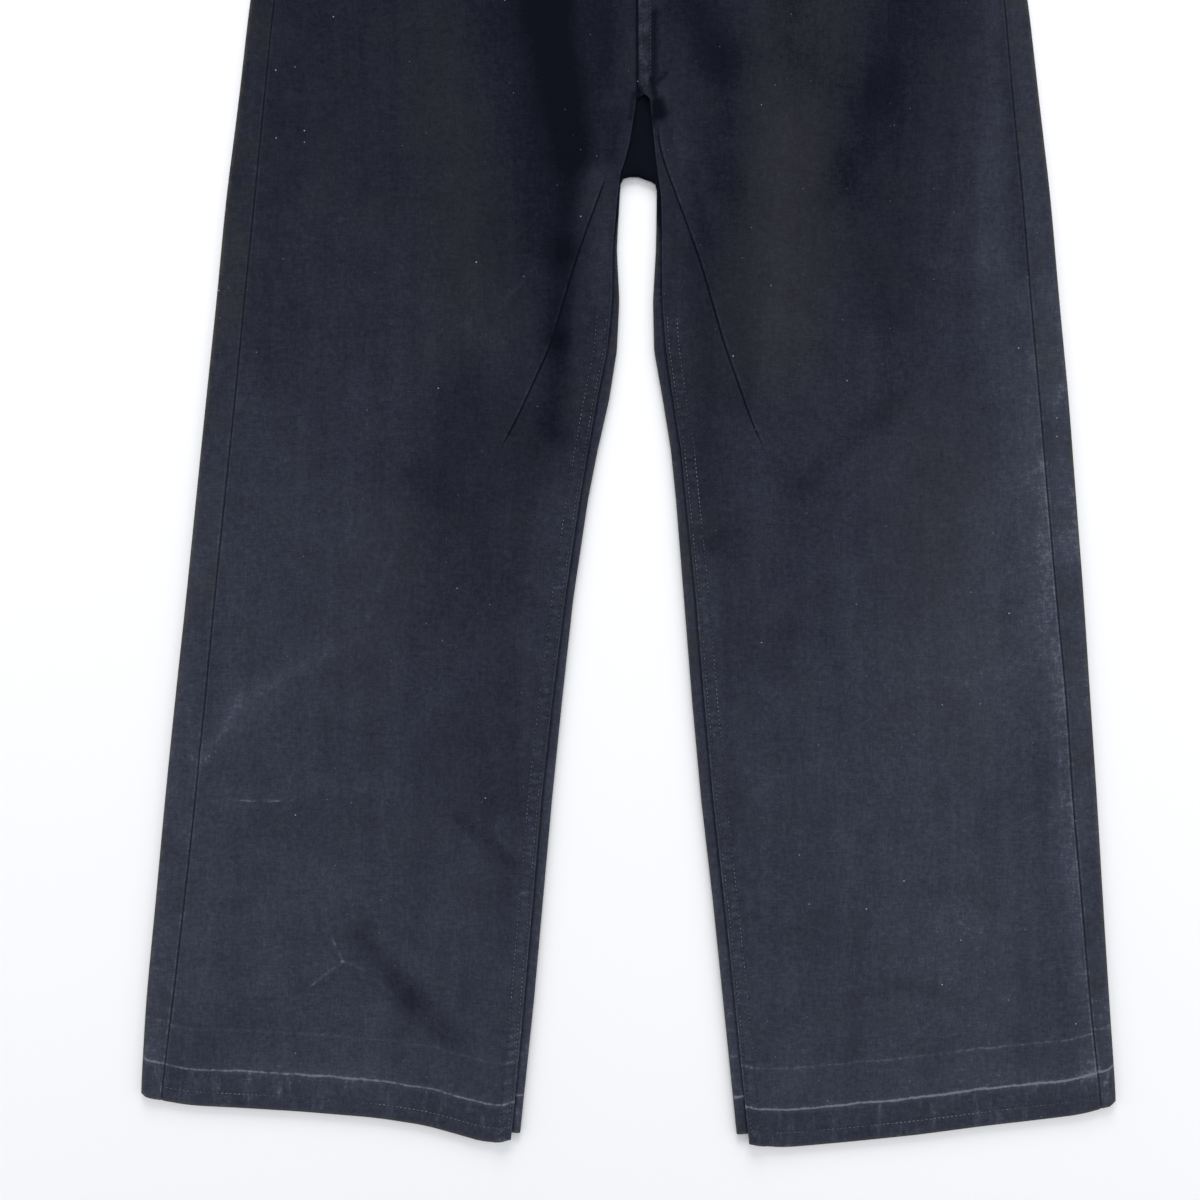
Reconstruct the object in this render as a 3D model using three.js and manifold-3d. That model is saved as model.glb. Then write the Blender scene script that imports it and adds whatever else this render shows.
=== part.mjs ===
// Black wide-leg jeans, laid flat on their back with the fly side up. Millimetres, +X to the viewer's
// right, +Y to the waist, +Z up off the surface. The origin is the middle of the underside's outline.
// "left" and "right" are the sides as seen from the front.
import * as THREE from "three";
import { mergeVertices } from "three/addons/utils/BufferGeometryUtils.js";
import Module from "manifold-3d";

const wasm = await Module();
wasm.setup();

// Cloth and seams
const CLOTH = 1.1; // one layer of heavy cotton
const HEM_CLOTH = 1.8; // the turned-up hem, pressed
const BAND_CLOTH = 2.2; // the waistband is folded double
const SEAM_GAP = 0.3;
const HEM_DEPTH = 9; // the hem's stitch line above its edge
const FELL = 8.5; // width of the felled inseam, between its two rows of stitches and its edges
const RISE_FELL = 10; // the felled seam under the fly
const FLY_LAP = 20; // how far the fly laps over the zip

// Lengths down the garment
const WAIST_Y = 494.2;
const BAND_HEIGHT = 40;
const BAND_Y = WAIST_Y - BAND_HEIGHT;
const WAIST_DIP = 9; // the front waist lies this much lower than the back in the middle
const FLY_BOTTOM_Y = 308;
const CROTCH_Y = 241; // where the front edges part
const CROTCH_FOLD_Y = 185.4; // the back's fold between the legs
const YOKE_SIDE_Y = 413;
const YOKE_DROP = 28; // the yoke is this much deeper at the centre back
const SLANT_Y = 160; // below this the rows slant with the splayed legs
const CENTRE_X = 7; // centre front and centre back
const WAIST_HALF_TOP = 218;
const WAIST_HALF_BAND = 235.6;

// Heights off the surface, of the cloth's face
const OUT_FOLD = 4.6; // across the folded outer edge
const IN_FOLD = 4.4; // across the folded inner edge
const REST_FACE = 3.2; // the front where it lies on the back
const LOWEST_FACE = 2.8;
const LAP_FACE = IN_FOLD + SEAM_GAP + CLOTH;
const HEM_FACE = 4.3;
const CROTCH_LIP = 2.6; // the back where it shows between the parted fronts
const CENTRE_FACE = 4.3; // the front at the crotch
const FLY_FACE = 3.3;
const WAIST_FACE = 4.9;
const BAND_FACE = 6.1;
const BAND_LAP_FACE = BAND_FACE + SEAM_GAP + BAND_CLOTH;
const UNDER_RAISE = CLOTH + SEAM_GAP + 0.1; // over a pocket or loop that lies underneath
const SEAM_DIP = 0.5; // both edges of a plain seam roll in
const DART_DIP = 0.7;

const ARC_STEPS = 4; // facets round a folded edge

// Outer side: the folded edge and the plain side seam, which lies on the front
const OUTER = {
  left: [
    { y: 494, edge: -210.7, seam: -193 },
    { y: 454, edge: -228.3, seam: -211 },
    { y: 400, edge: -247, seam: -229.5 },
    { y: 350, edge: -259.2, seam: -241.8 },
    { y: 308, edge: -265.7, seam: -248.4 },
    { y: 239, edge: -273.4, seam: -255.2 },
    { y: 169, edge: -282.5, seam: -262 },
    { y: 99, edge: -289, seam: -269 },
    { y: 29, edge: -296.4, seam: -275.7 },
    { y: -41, edge: -303.5, seam: -283.1 },
    { y: -111, edge: -310.5, seam: -290.1 },
    { y: -181, edge: -318.1, seam: -296.8 },
    { y: -251, edge: -325.2, seam: -303.6 },
    { y: -321, edge: -331.6, seam: -311.2 },
    { y: -391, edge: -338.4, seam: -319.4 },
    { y: -459, edge: -342.3, seam: -328 },
  ],
  right: [
    { y: 494, edge: 225.4, seam: 208 },
    { y: 454, edge: 243, seam: 225.8 },
    { y: 400, edge: 261.7, seam: 244.5 },
    { y: 350, edge: 273.9, seam: 257 },
    { y: 308, edge: 280.4, seam: 263.4 },
    { y: 239, edge: 288.1, seam: 269.2 },
    { y: 169, edge: 296.3, seam: 276.2 },
    { y: 99, edge: 302.2, seam: 281.9 },
    { y: 29, edge: 308.9, seam: 288 },
    { y: -41, edge: 314.1, seam: 293.8 },
    { y: -111, edge: 319.5, seam: 300 },
    { y: -181, edge: 324, seam: 306.8 },
    { y: -251, edge: 328.7, seam: 311.3 },
    { y: -321, edge: 332.8, seam: 317.4 },
    { y: -391, edge: 337.2, seam: 323.3 },
    { y: -465, edge: 342.3, seam: 331.6 },
  ],
};

// Inner side: the back's folded edge and the front panel's lapping edge, up to the waist
const INNER = {
  left: [
    { y: 454, edge: 6.85, seam: 8.4 },
    { y: 309, edge: 6.85, seam: 8.4 },
    { y: 306, edge: 6.85, seam: 16.7 },
    { y: 247, edge: 6.85, seam: 16.7 },
    { y: 240, edge: 6.85, seam: 5.4 },
    { y: 225, edge: 6.85, seam: 3.2 },
    { y: 211, edge: 6.85, seam: 1.1 },
    { y: 197, edge: 6.85, seam: -2.4 },
    { y: 188, edge: -4.6, seam: -5.6 },
    { y: 169, edge: -6.6, seam: -7.9 },
    { y: 134, edge: -8.1, seam: -11.1 },
    { y: 99, edge: -6.4, seam: -11.6 },
    { y: 64, edge: -8.1, seam: -15 },
    { y: 29, edge: -13.6, seam: -22.1 },
    { y: -6, edge: -21.6, seam: -28.3 },
    { y: -41, edge: -28.4, seam: -34.3 },
    { y: -111, edge: -38.8, seam: -44.5 },
    { y: -181, edge: -46.5, seam: -53.3 },
    { y: -251, edge: -53.6, seam: -61 },
    { y: -321, edge: -59.9, seam: -66.9 },
    { y: -391, edge: -66.2, seam: -73.2 },
    { y: -489, edge: -76.4, seam: -82.4 },
  ],
  right: [
    { y: 454, edge: 7.15, seam: 6.7 },
    { y: 247, edge: 7.15, seam: 6.7 },
    { y: 240, edge: 7.15, seam: 15 },
    { y: 218, edge: 7.15, seam: 17.2 },
    { y: 197, edge: 7.15, seam: 19.3 },
    { y: 184, edge: 20, seam: 21 },
    { y: 169, edge: 20, seam: 23 },
    { y: 134, edge: 19.2, seam: 23.5 },
    { y: 99, edge: 17.2, seam: 23.6 },
    { y: 64, edge: 17.9, seam: 26.2 },
    { y: 29, edge: 24.1, seam: 31.2 },
    { y: -6, edge: 29.7, seam: 36.7 },
    { y: -41, edge: 33.3, seam: 40.2 },
    { y: -111, edge: 38.9, seam: 47.2 },
    { y: -181, edge: 44.5, seam: 52.9 },
    { y: -251, edge: 50.9, seam: 59.2 },
    { y: -321, edge: 59, seam: 66.8 },
    { y: -391, edge: 66.2, seam: 74.5 },
    { y: -489, edge: 76.2, seam: 84.4 },
  ],
};

// The long dart on the inner thigh, from the crotch to its point
const DART = {
  left: [
    { y: 454, x: -22 },
    { y: 240, x: -12 },
    { y: 176, x: -18.5 },
    { y: 127, x: -36.8 },
    { y: 71, x: -54.3 },
    { y: 18, x: -79.5 },
    { y: -4, x: -92 },
    { y: -60, x: -108 },
    { y: -489, x: -140 },
  ],
  right: [
    { y: 454, x: 44 },
    { y: 240, x: 30 },
    { y: 211, x: 29 },
    { y: 176, x: 33.6 },
    { y: 127, x: 49.4 },
    { y: 71, x: 66.9 },
    { y: 15, x: 87.2 },
    { y: -4, x: 97 },
    { y: -60, x: 110 },
    { y: -489, x: 140 },
  ],
};
const DART_TOP = { left: 176, right: 211 };
const DART_POINT_Y = -4;

// The hem: its corners, and how far its edge drops below the line between them
const HEM = {
  left: {
    outerY: -459.2,
    innerY: -487.5,
    wave: [
      { across: 0, drop: 0 },
      { across: 0.13, drop: 2.4 },
      { across: 0.27, drop: 0.3 },
      { across: 0.42, drop: -1.5 },
      { across: 0.62, drop: -2.8 },
      { across: 0.75, drop: -1.2 },
      { across: 0.85, drop: 3.4 },
      { across: 0.91, drop: 5.6 },
      { across: 0.96, drop: 3.2 },
      { across: 1, drop: 0.5 },
    ],
  },
  right: {
    outerY: -464.8,
    innerY: -488.4,
    wave: [
      { across: 0, drop: 0 },
      { across: 0.1, drop: 4.7 },
      { across: 0.2, drop: 5.7 },
      { across: 0.36, drop: 6.8 },
      { across: 0.52, drop: 8.7 },
      { across: 0.68, drop: 9.3 },
      { across: 0.83, drop: 9.45 },
      { across: 0.9, drop: 8.6 },
      { across: 0.95, drop: 5.3 },
      { across: 1, drop: 2 },
    ],
  },
};
const BACK_HEM_RISE = 2.6; // the back hem lies a little above the front's
const WAVE = { holds: 58, reach: 150 }; // how far up the leg the hem's wave is whole, and dies out

// The back between the parted fronts: points along its fold, where its turned-up lip ends, and the
// outer edge's height on the same row
const CROTCH = {
  left: [
    { x: -5.6, y: 180, lipX: -13, lipY: 187, outerY: 170 },
    { x: -3.4, y: 184.4, lipX: -12, lipY: 206, outerY: 178 },
    { x: 0.8, y: 185.4, lipX: -7, lipY: 229, outerY: 186 },
    { x: 6.85, y: CROTCH_FOLD_Y, lipX: 6.85, lipY: 250, outerY: 194 },
  ],
  right: [
    { x: 19.8, y: 176, lipX: 28, lipY: 183, outerY: 168 },
    { x: 18.6, y: 180.4, lipX: 28, lipY: 204, outerY: 174 },
    { x: 15.8, y: 182.2, lipX: 27, lipY: 229, outerY: 181 },
    { x: 11.6, y: 183.6, lipX: 20, lipY: 251, outerY: 188 },
    { x: 7.15, y: CROTCH_FOLD_Y, lipX: 7.15, lipY: 251, outerY: 194 },
  ],
};

// Heights between which the front passes from one way of lying to the next
const PASSES = {
  overCrotch: { from: 186, to: 244 }, // its edge sinks from the back's strip to the crotch
  crotchLip: { from: 186, to: 224 }, // and the back's strip sinks more under it
  oneLap: { from: 225, to: 239 }, // only the viewer's right front laps above this
  overFly: { from: 250, to: 300 },
  flyLap: { from: 290, to: FLY_BOTTOM_Y },
  facing: { from: 318, to: 344 }, // the pocket facing lies under it
  dip: { from: 330, to: BAND_Y },
  overBand: { from: 400, to: 446 },
};
// How far in from an edge its seam, lap or hem holds the front up, and the slope over the facing's edge
const HELD = { seam: 38, lap: 34, lapSlope: 7, hem: 26, facingFrom: 136, facingTo: 180 };
// Slopes over the back pocket, as distances past its low and high ends: of the back that lies on it, and
// of the front on top
const POCKET_RISE = {
  back: { low: { far: 8, near: 0 }, high: { near: 0, far: 12 } },
  front: { low: { far: 38, near: 20 }, high: { near: 16, far: 38 } },
};

// Rows of the panels: how far above the hem on the leg, then the outer edge's height
const FRONT_ROWS = {
  aboveHem: [0, 1.2, HEM_DEPTH, HEM_DEPTH + 0.8, 26, 50, 84, 118, 152, 186, 220, 254, 288, 322, 356],
  thigh: [-72, -38, -4, 18, 45, 71, 99, 127, 152, 172, 186, 197, 211, 226, 239.5],
  hip: [247, 258, 280, 304, 310, 336, 360, 385, 410, 430, 446, BAND_Y - SEAM_GAP],
};
const BACK_ROWS = {
  aboveHem: [0, HEM_DEPTH, HEM_DEPTH + 0.8, 45, 90, 135, 180, 225, 270, 315, 360, 400, 440, 475, 510, 545]
    .concat(580, 605),
  seat: [198, 240, 275, 310, 345, 374, 386, 400, YOKE_SIDE_Y],
  yoke: [0, 0.3, 0.65, 1],
};
const BACK_WAVE = 0.5; // the back hem rises this share of what the front's does, and drops nowhere
const LIP_SHORT = 1.5; // the back's strip ends this much short of the fell's width

// Largest soft folds of the fronts: a straight run, its width to one side, and its height
const FOLDS = [
  { x1: -54, y1: 330, x2: -46, y2: 180, width: 16, height: -1.4 },
  { x1: -78, y1: 350, x2: -82, y2: 120, width: 22, height: 1.5 },
  { x1: -44, y1: 120, x2: -40, y2: -10, width: 10, height: -1.2 },
  { x1: -110, y1: 20, x2: -124, y2: -150, width: 22, height: -1.1 },
  { x1: -150, y1: -20, x2: -188, y2: -140, width: 16, height: 1.4 },
  { x1: -296, y1: -220, x2: -205, y2: -145, width: 12, height: 0.9 },
  { x1: -230, y1: -330, x2: -150, y2: -400, width: 14, height: 0.9 },
  { x1: -186, y1: -350, x2: -135, y2: -412, width: 11, height: -1 },
  { x1: -110, y1: -265, x2: -80, y2: -295, width: 9, height: -0.8 },
  { x1: -200, y1: 240, x2: -215, y2: 60, width: 38, height: 0.9 },
  { x1: 196, y1: 330, x2: 155, y2: 150, width: 20, height: -1.3 },
  { x1: 236, y1: 330, x2: 200, y2: 130, width: 26, height: 1.3 },
  { x1: 118, y1: 300, x2: 108, y2: 60, width: 30, height: 1.2 },
  { x1: 183, y1: 30, x2: 112, y2: -35, width: 15, height: -1.1 },
  { x1: 112, y1: -35, x2: 112, y2: -105, width: 18, height: -1 },
  { x1: 205, y1: -60, x2: 215, y2: -300, width: 34, height: 1 },
  { x1: 160, y1: -160, x2: 155, y2: -330, width: 26, height: 0.7 },
  { x1: 240, y1: -270, x2: 232, y2: -360, width: 12, height: -0.7 },
];

// Pockets, belt loops, zip and button
const FRONT_MOUTH = { reach: 122, depth: 75, cuts: 20 };
const FACING = { bottom: 1.9, under: 5, past: 6 };
const BACK_POCKET = { half: 74, lowHalf: 66, top: 361, slant: 14, height: 132, tip: 20 };
const POCKET_X = { left: -120, right: 134 };
const POCKET_ACROSS = { from: 0.22, to: 0.85, slope: 0.05, low: 198, high: 374 };
const LOOP = { half: 6, clear: 2.4, slope: 8 };
const BACK_LOOPS = { back_left: -118, back_centre: CENTRE_X, back_right: 132 };
const FRONT_LOOPS = { front_left: -96, front_right: 110 };
const BAND_UNDER_END = 34; // the under end of the waistband reaches this far past centre
const BAND_LAP_END = -5;
const ZIP_WIDTH = 16;
const BUTTON = { x: CENTRE_X, y: 466, radius: 8.5, rim: 1.1, face: 2.4, shank: 1.7 };
const BUTTONHOLE = { long: 20, wide: 4.4 };

const blackCotton = { color: new THREE.Color("rgb(47, 49, 61)"), roughness: 0.95, metalness: 0 };
const darkTape = { color: new THREE.Color("rgb(30, 31, 37)"), roughness: 0.9, metalness: 0 };
const gunmetal = { color: new THREE.Color("rgb(96, 94, 92)"), roughness: 0.4, metalness: 0.9 };

const lerp = THREE.MathUtils.lerp;
const clamp = THREE.MathUtils.clamp;
const point = (x, y, z) => new THREE.Vector3(x, y, z);

/** A table's column at a height, or at any other key, straight between its rows. */
function read(rows, column, at, key = "y") {
  const down = rows[0][key] > rows[rows.length - 1][key];
  for (let i = 0; i + 1 < rows.length; i++) {
    const [a, b] = [rows[i], rows[i + 1]];
    const inside = down ? at >= b[key] : at <= b[key];
    if (inside || i + 2 === rows.length) {
      const t = clamp((at - a[key]) / (b[key] - a[key]), 0, 1);
      return lerp(a[column], b[column], t);
    }
  }
  return rows[0][column];
}

/** 0 before start, 1 after end, and a soft step between. */
function step(start, end, at) {
  const t = clamp((at - start) / (end - start), 0, 1);
  return t * t * (3 - 2 * t);
}

/** The closed wall between a grid of face points and the same grid moved in. Cells for which
 *  holds(i, j) is false are left out, and every edge of what stays is closed. */
function wallBetween(face, inside, holds = () => true) {
  const rows = face.length;
  const columns = face[0].length;
  const index = (i, j, under) => (under ? rows * columns : 0) + i * columns + j;
  const positions = [...face.flat(), ...inside.flat()].flatMap((p) => [p.x, p.y, p.z]);
  const has = (i, j) => i >= 0 && j >= 0 && i < rows - 1 && j < columns - 1 && holds(i, j);
  const triangles = [];
  const quad = (a, b, c, d) => triangles.push(a, b, c, a, c, d);
  const edge = (i1, j1, i2, j2) => {
    quad(index(i1, j1, false), index(i1, j1, true), index(i2, j2, true), index(i2, j2, false));
  };
  for (let i = 0; i < rows - 1; i++) {
    for (let j = 0; j < columns - 1; j++) {
      if (!has(i, j)) continue;
      quad(index(i, j, false), index(i, j + 1, false), index(i + 1, j + 1, false), index(i + 1, j, false));
      quad(index(i, j, true), index(i + 1, j, true), index(i + 1, j + 1, true), index(i, j + 1, true));
      if (!has(i - 1, j)) edge(i, j, i, j + 1);
      if (!has(i + 1, j)) edge(i + 1, j + 1, i + 1, j);
      if (!has(i, j - 1)) edge(i + 1, j, i, j);
      if (!has(i, j + 1)) edge(i, j + 1, i + 1, j + 1);
    }
  }
  return facingOut(positions, triangles);
}

/** A geometry of these triangles, turned so that its volume is positive. */
function facingOut(positions, triangles) {
  const corner = (k) => new THREE.Vector3().fromArray(positions, 3 * triangles[k]);
  let volume = 0;
  for (let k = 0; k < triangles.length; k += 3) {
    volume += corner(k).dot(corner(k + 1).cross(corner(k + 2)));
  }
  if (volume < 0) triangles.reverse();
  const geometry = new THREE.BufferGeometry();
  geometry.setAttribute("position", new THREE.Float32BufferAttribute(positions, 3));
  geometry.setIndex(triangles);
  return geometry;
}

/** One side's row across the leg: the line from the outer edge to the inner edge. */
function rowAt(side, outerY) {
  const hem = HEM[side];
  const stretch = (SLANT_Y - hem.innerY) / (SLANT_Y - hem.outerY);
  const innerY = outerY < SLANT_Y ? SLANT_Y - (SLANT_Y - outerY) * stretch : outerY;
  const outerX = read(OUTER[side], "edge", outerY);
  return { outerY, innerY, outerX, innerX: read(INNER[side], "edge", innerY) };
}

/** How far across a row a place lies, from 0 at the outer edge to 1 at the inner one. */
function acrossRow(row, x) {
  return (x - row.outerX) / (row.innerX - row.outerX);
}

/** The hem's drop at a place across a row, dying out up the leg. */
function waveAt(side, row, across) {
  const near = 1 - step(WAVE.holds, WAVE.reach, row.outerY - HEM[side].outerY);
  return near * read(HEM[side].wave, "drop", across, "across");
}

/** From 0 to 1 over one of the stretches in PASSES. */
function passing(stretch, y) {
  return step(PASSES[stretch].from, PASSES[stretch].to, y);
}

/** How far the front waist dips at a place. */
function waistDip(x, outerY) {
  return WAIST_DIP * passing("dip", outerY) * (1 - ((x - CENTRE_X) / WAIST_HALF_BAND) ** 2);
}

/** Sum of the soft folds at a place: each falls off as a bell to its sides and past its ends. */
function foldsAt(x, y) {
  let sum = 0;
  for (const f of FOLDS) {
    const [dx, dy] = [f.x2 - f.x1, f.y2 - f.y1];
    const t = clamp(((x - f.x1) * dx + (y - f.y1) * dy) / (dx * dx + dy * dy), 0, 1);
    const away = Math.hypot(x - f.x1 - t * dx, y - f.y1 - t * dy);
    sum += f.height * Math.exp(-((away / f.width) ** 2));
  }
  return sum;
}

/** Face height of the front at its inner edge: over the back's strip, the crotch, then the fly. */
function innerEdgeFace(y) {
  const low = lerp(LAP_FACE, CENTRE_FACE, passing("overCrotch", y));
  return lerp(lerp(low, FLY_FACE, passing("overFly", y)), WAIST_FACE, passing("overBand", y));
}

/** How much the back is raised over the pocket that lies under it, and the front over a wider
 *  stretch of it. */
function pocketRaise(outerY, across, layer) {
  const { from, to, slope, low, high } = POCKET_ACROSS;
  const margin = layer === "front" ? slope : 0;
  const rise = POCKET_RISE[layer];
  const start = step(from - slope - margin, from - margin, across);
  const end = 1 - step(to + margin, to + slope + margin, across);
  const below = step(low - rise.low.far, low - rise.low.near, outerY);
  const above = 1 - step(high + rise.high.near, high + rise.high.far, outerY);
  return UNDER_RAISE * start * end * below * above;
}

/** Face height of a front panel: edges held up by their seams, the rest settled on the back with
 *  its soft folds, and the lapping edge raised over what it covers. */
function frontFace(side, x, y, outer, inner, hemAbove) {
  const fromOuter = Math.abs(x - outer);
  const fromInner = Math.abs(x - inner);
  const upper = passing("oneLap", y);
  const laps = side === "right" ? 1 : 1 - upper;
  const lapWidth = lerp(FELL, lerp(RISE_FELL + 1.5, FLY_LAP + 1, passing("flyLap", y)), upper);
  const edgeFace = innerEdgeFace(y) + (side === "right" ? upper * (CLOTH + SEAM_GAP) : 0);
  const beside = edgeFace - laps * 1.2;
  let z = REST_FACE + foldsAt(x, y);
  z += (OUT_FOLD - REST_FACE) * Math.exp(-((fromOuter / HELD.seam) ** 2));
  const pastLap = Math.max(0, fromInner - lapWidth - HELD.lapSlope);
  z = lerp(z, Math.max(z, beside), Math.exp(-((pastLap / HELD.lap) ** 2)));
  z = lerp(edgeFace, z, step(lapWidth, lapWidth + HELD.lapSlope, fromInner));
  const onFacing = (1 - step(HELD.facingFrom, HELD.facingTo, fromOuter)) * passing("facing", y);
  z = lerp(z, Math.max(z, OUT_FOLD + 0.1), onFacing);
  z = lerp(z, Math.max(z, WAIST_FACE - 0.3), passing("overBand", y));
  const hemmed = 1 - step(HEM_DEPTH, HEM_DEPTH + HELD.hem, hemAbove);
  const hemLap = 1 - step(FELL, FELL + HELD.lapSlope, fromInner);
  const hemFace = lerp(HEM_FACE, LAP_FACE + HEM_CLOTH - CLOTH, hemLap);
  z = lerp(z, Math.max(z, hemFace), hemmed);
  if (fromOuter < 1) z -= SEAM_DIP;
  return z;
}

/** One front panel: rows down the leg, columns from the side seam to the lapping edge, with three
 *  columns along the dart. */
function frontPanel(side) {
  const inward = side === "left" ? 1 : -1;
  const hem = HEM[side];
  const legRows = FRONT_ROWS.aboveHem.map((above) => hem.outerY + above);
  const face = [];
  const inside = [];
  for (const outerY of [...legRows, ...FRONT_ROWS.thigh, ...FRONT_ROWS.hip]) {
    const row = rowAt(side, outerY);
    const outer = read(OUTER[side], "seam", outerY) + inward * SEAM_GAP / 2;
    const inner = read(INNER[side], "seam", row.innerY);
    const dart = read(DART[side], "x", outerY);
    const across = [outer, outer + inward * 1.8, outer + inward * 12];
    for (const part of [0.18, 0.36, 0.54, 0.7, 0.85]) across.push(lerp(outer, dart, part));
    across.push(dart - inward * 9, dart - inward * 1.6, dart, dart + inward * 1.6);
    const room = Math.abs(inner - dart) - 1.6;
    const squeeze = Math.min(1, room / (FELL + 12));
    const fromInner = (away) => inner - inward * squeeze * away;
    for (const part of [0.35, 0.7]) across.push(lerp(dart + inward * 1.6, fromInner(FELL + 8), part));
    across.push(fromInner(FELL + 8), fromInner(FELL + 2), fromInner(FELL), fromInner(1), inner);
    const hemAbove = outerY - hem.outerY;
    const thick = hemAbove <= HEM_DEPTH ? HEM_CLOTH : CLOTH;
    const dartDepth = step(DART_POINT_Y, DART_POINT_Y + 20, outerY) * (1 - step(DART_TOP[side], 240, outerY));
    face.push([]);
    inside.push([]);
    for (const x of across) {
      const part = acrossRow(row, x);
      const y = lerp(row.outerY, row.innerY, part) - waveAt(side, row, part) - waistDip(x, outerY);
      let z = frontFace(side, x, y, outer, inner, hemAbove);
      if (x === dart) z -= DART_DIP * dartDepth;
      z = Math.max(z, LOWEST_FACE + pocketRaise(outerY, part, "front"));
      face.at(-1).push(point(x, y, z));
      inside.at(-1).push(point(x, y, z - thick));
    }
  }
  return wallBetween(face, inside);
}

/** Points round a folded edge, from its top to the underside: a half turn of the given radius
 *  about the fold's middle, which lies the face's radius in from the edge. */
function foldArc(edgeX, edgeY, inX, inY, faceRadius, radius) {
  const arc = [];
  for (let k = 0; k <= ARC_STEPS; k++) {
    const angle = Math.PI / 2 + (Math.PI * k) / ARC_STEPS;
    const out = faceRadius + radius * Math.cos(angle);
    arc.push(point(edgeX + inX * out, edgeY + inY * out, faceRadius + radius * Math.sin(angle)));
  }
  return arc;
}

/** The back's rows: the two folded edges, where its strips end on the front, and its slant. */
function backRows(side, part) {
  const inward = side === "left" ? 1 : -1;
  const rows = [];
  const seamOn = (row) => {
    if (row.outerY < SLANT_Y) return read(OUTER[side], "seam", row.outerY);
    const across = acrossRow(row, read(OUTER[side], "seam", row.outerY));
    return read(OUTER[side], "seam", lerp(row.outerY, row.innerY, across));
  };
  const add = (row) => rows.push({ ...row, seamX: seamOn(row) });
  const slanted = (outerY, innerY) => {
    const innerX = CENTRE_X - inward * SEAM_GAP / 2;
    add({ outerX: read(OUTER[side], "edge", outerY), outerY, innerX, innerY, thick: CLOTH });
  };
  if (part === "yoke") {
    for (const up of BACK_ROWS.yoke) {
      const outerY = lerp(YOKE_SIDE_Y + SEAM_GAP, BAND_Y - SEAM_GAP, up);
      slanted(outerY, lerp(YOKE_SIDE_Y - YOKE_DROP + SEAM_GAP, BAND_Y - SEAM_GAP, up));
    }
    return rows;
  }
  for (const above of BACK_ROWS.aboveHem) {
    const row = rowAt(side, HEM[side].outerY + BACK_HEM_RISE + above);
    const lapX = read(INNER[side], "seam", row.innerY);
    const thick = above <= HEM_DEPTH ? HEM_CLOTH : CLOTH;
    add({ ...row, lapX, lipX: lapX + inward * (LIP_SHORT - FELL), thick, wave: BACK_WAVE });
  }
  for (const c of CROTCH[side]) {
    const row = { outerX: read(OUTER[side], "edge", c.outerY), outerY: c.outerY, innerX: c.x, innerY: c.y };
    add({ ...row, lipX: c.lipX, lipY: c.lipY, lapX: lerp(c.x, c.lipX, 0.5), thick: CLOTH });
  }
  for (const outerY of BACK_ROWS.seat) {
    slanted(outerY, outerY - YOKE_DROP * step(SLANT_Y, YOKE_SIDE_Y, outerY));
  }
  return rows;
}

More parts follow.
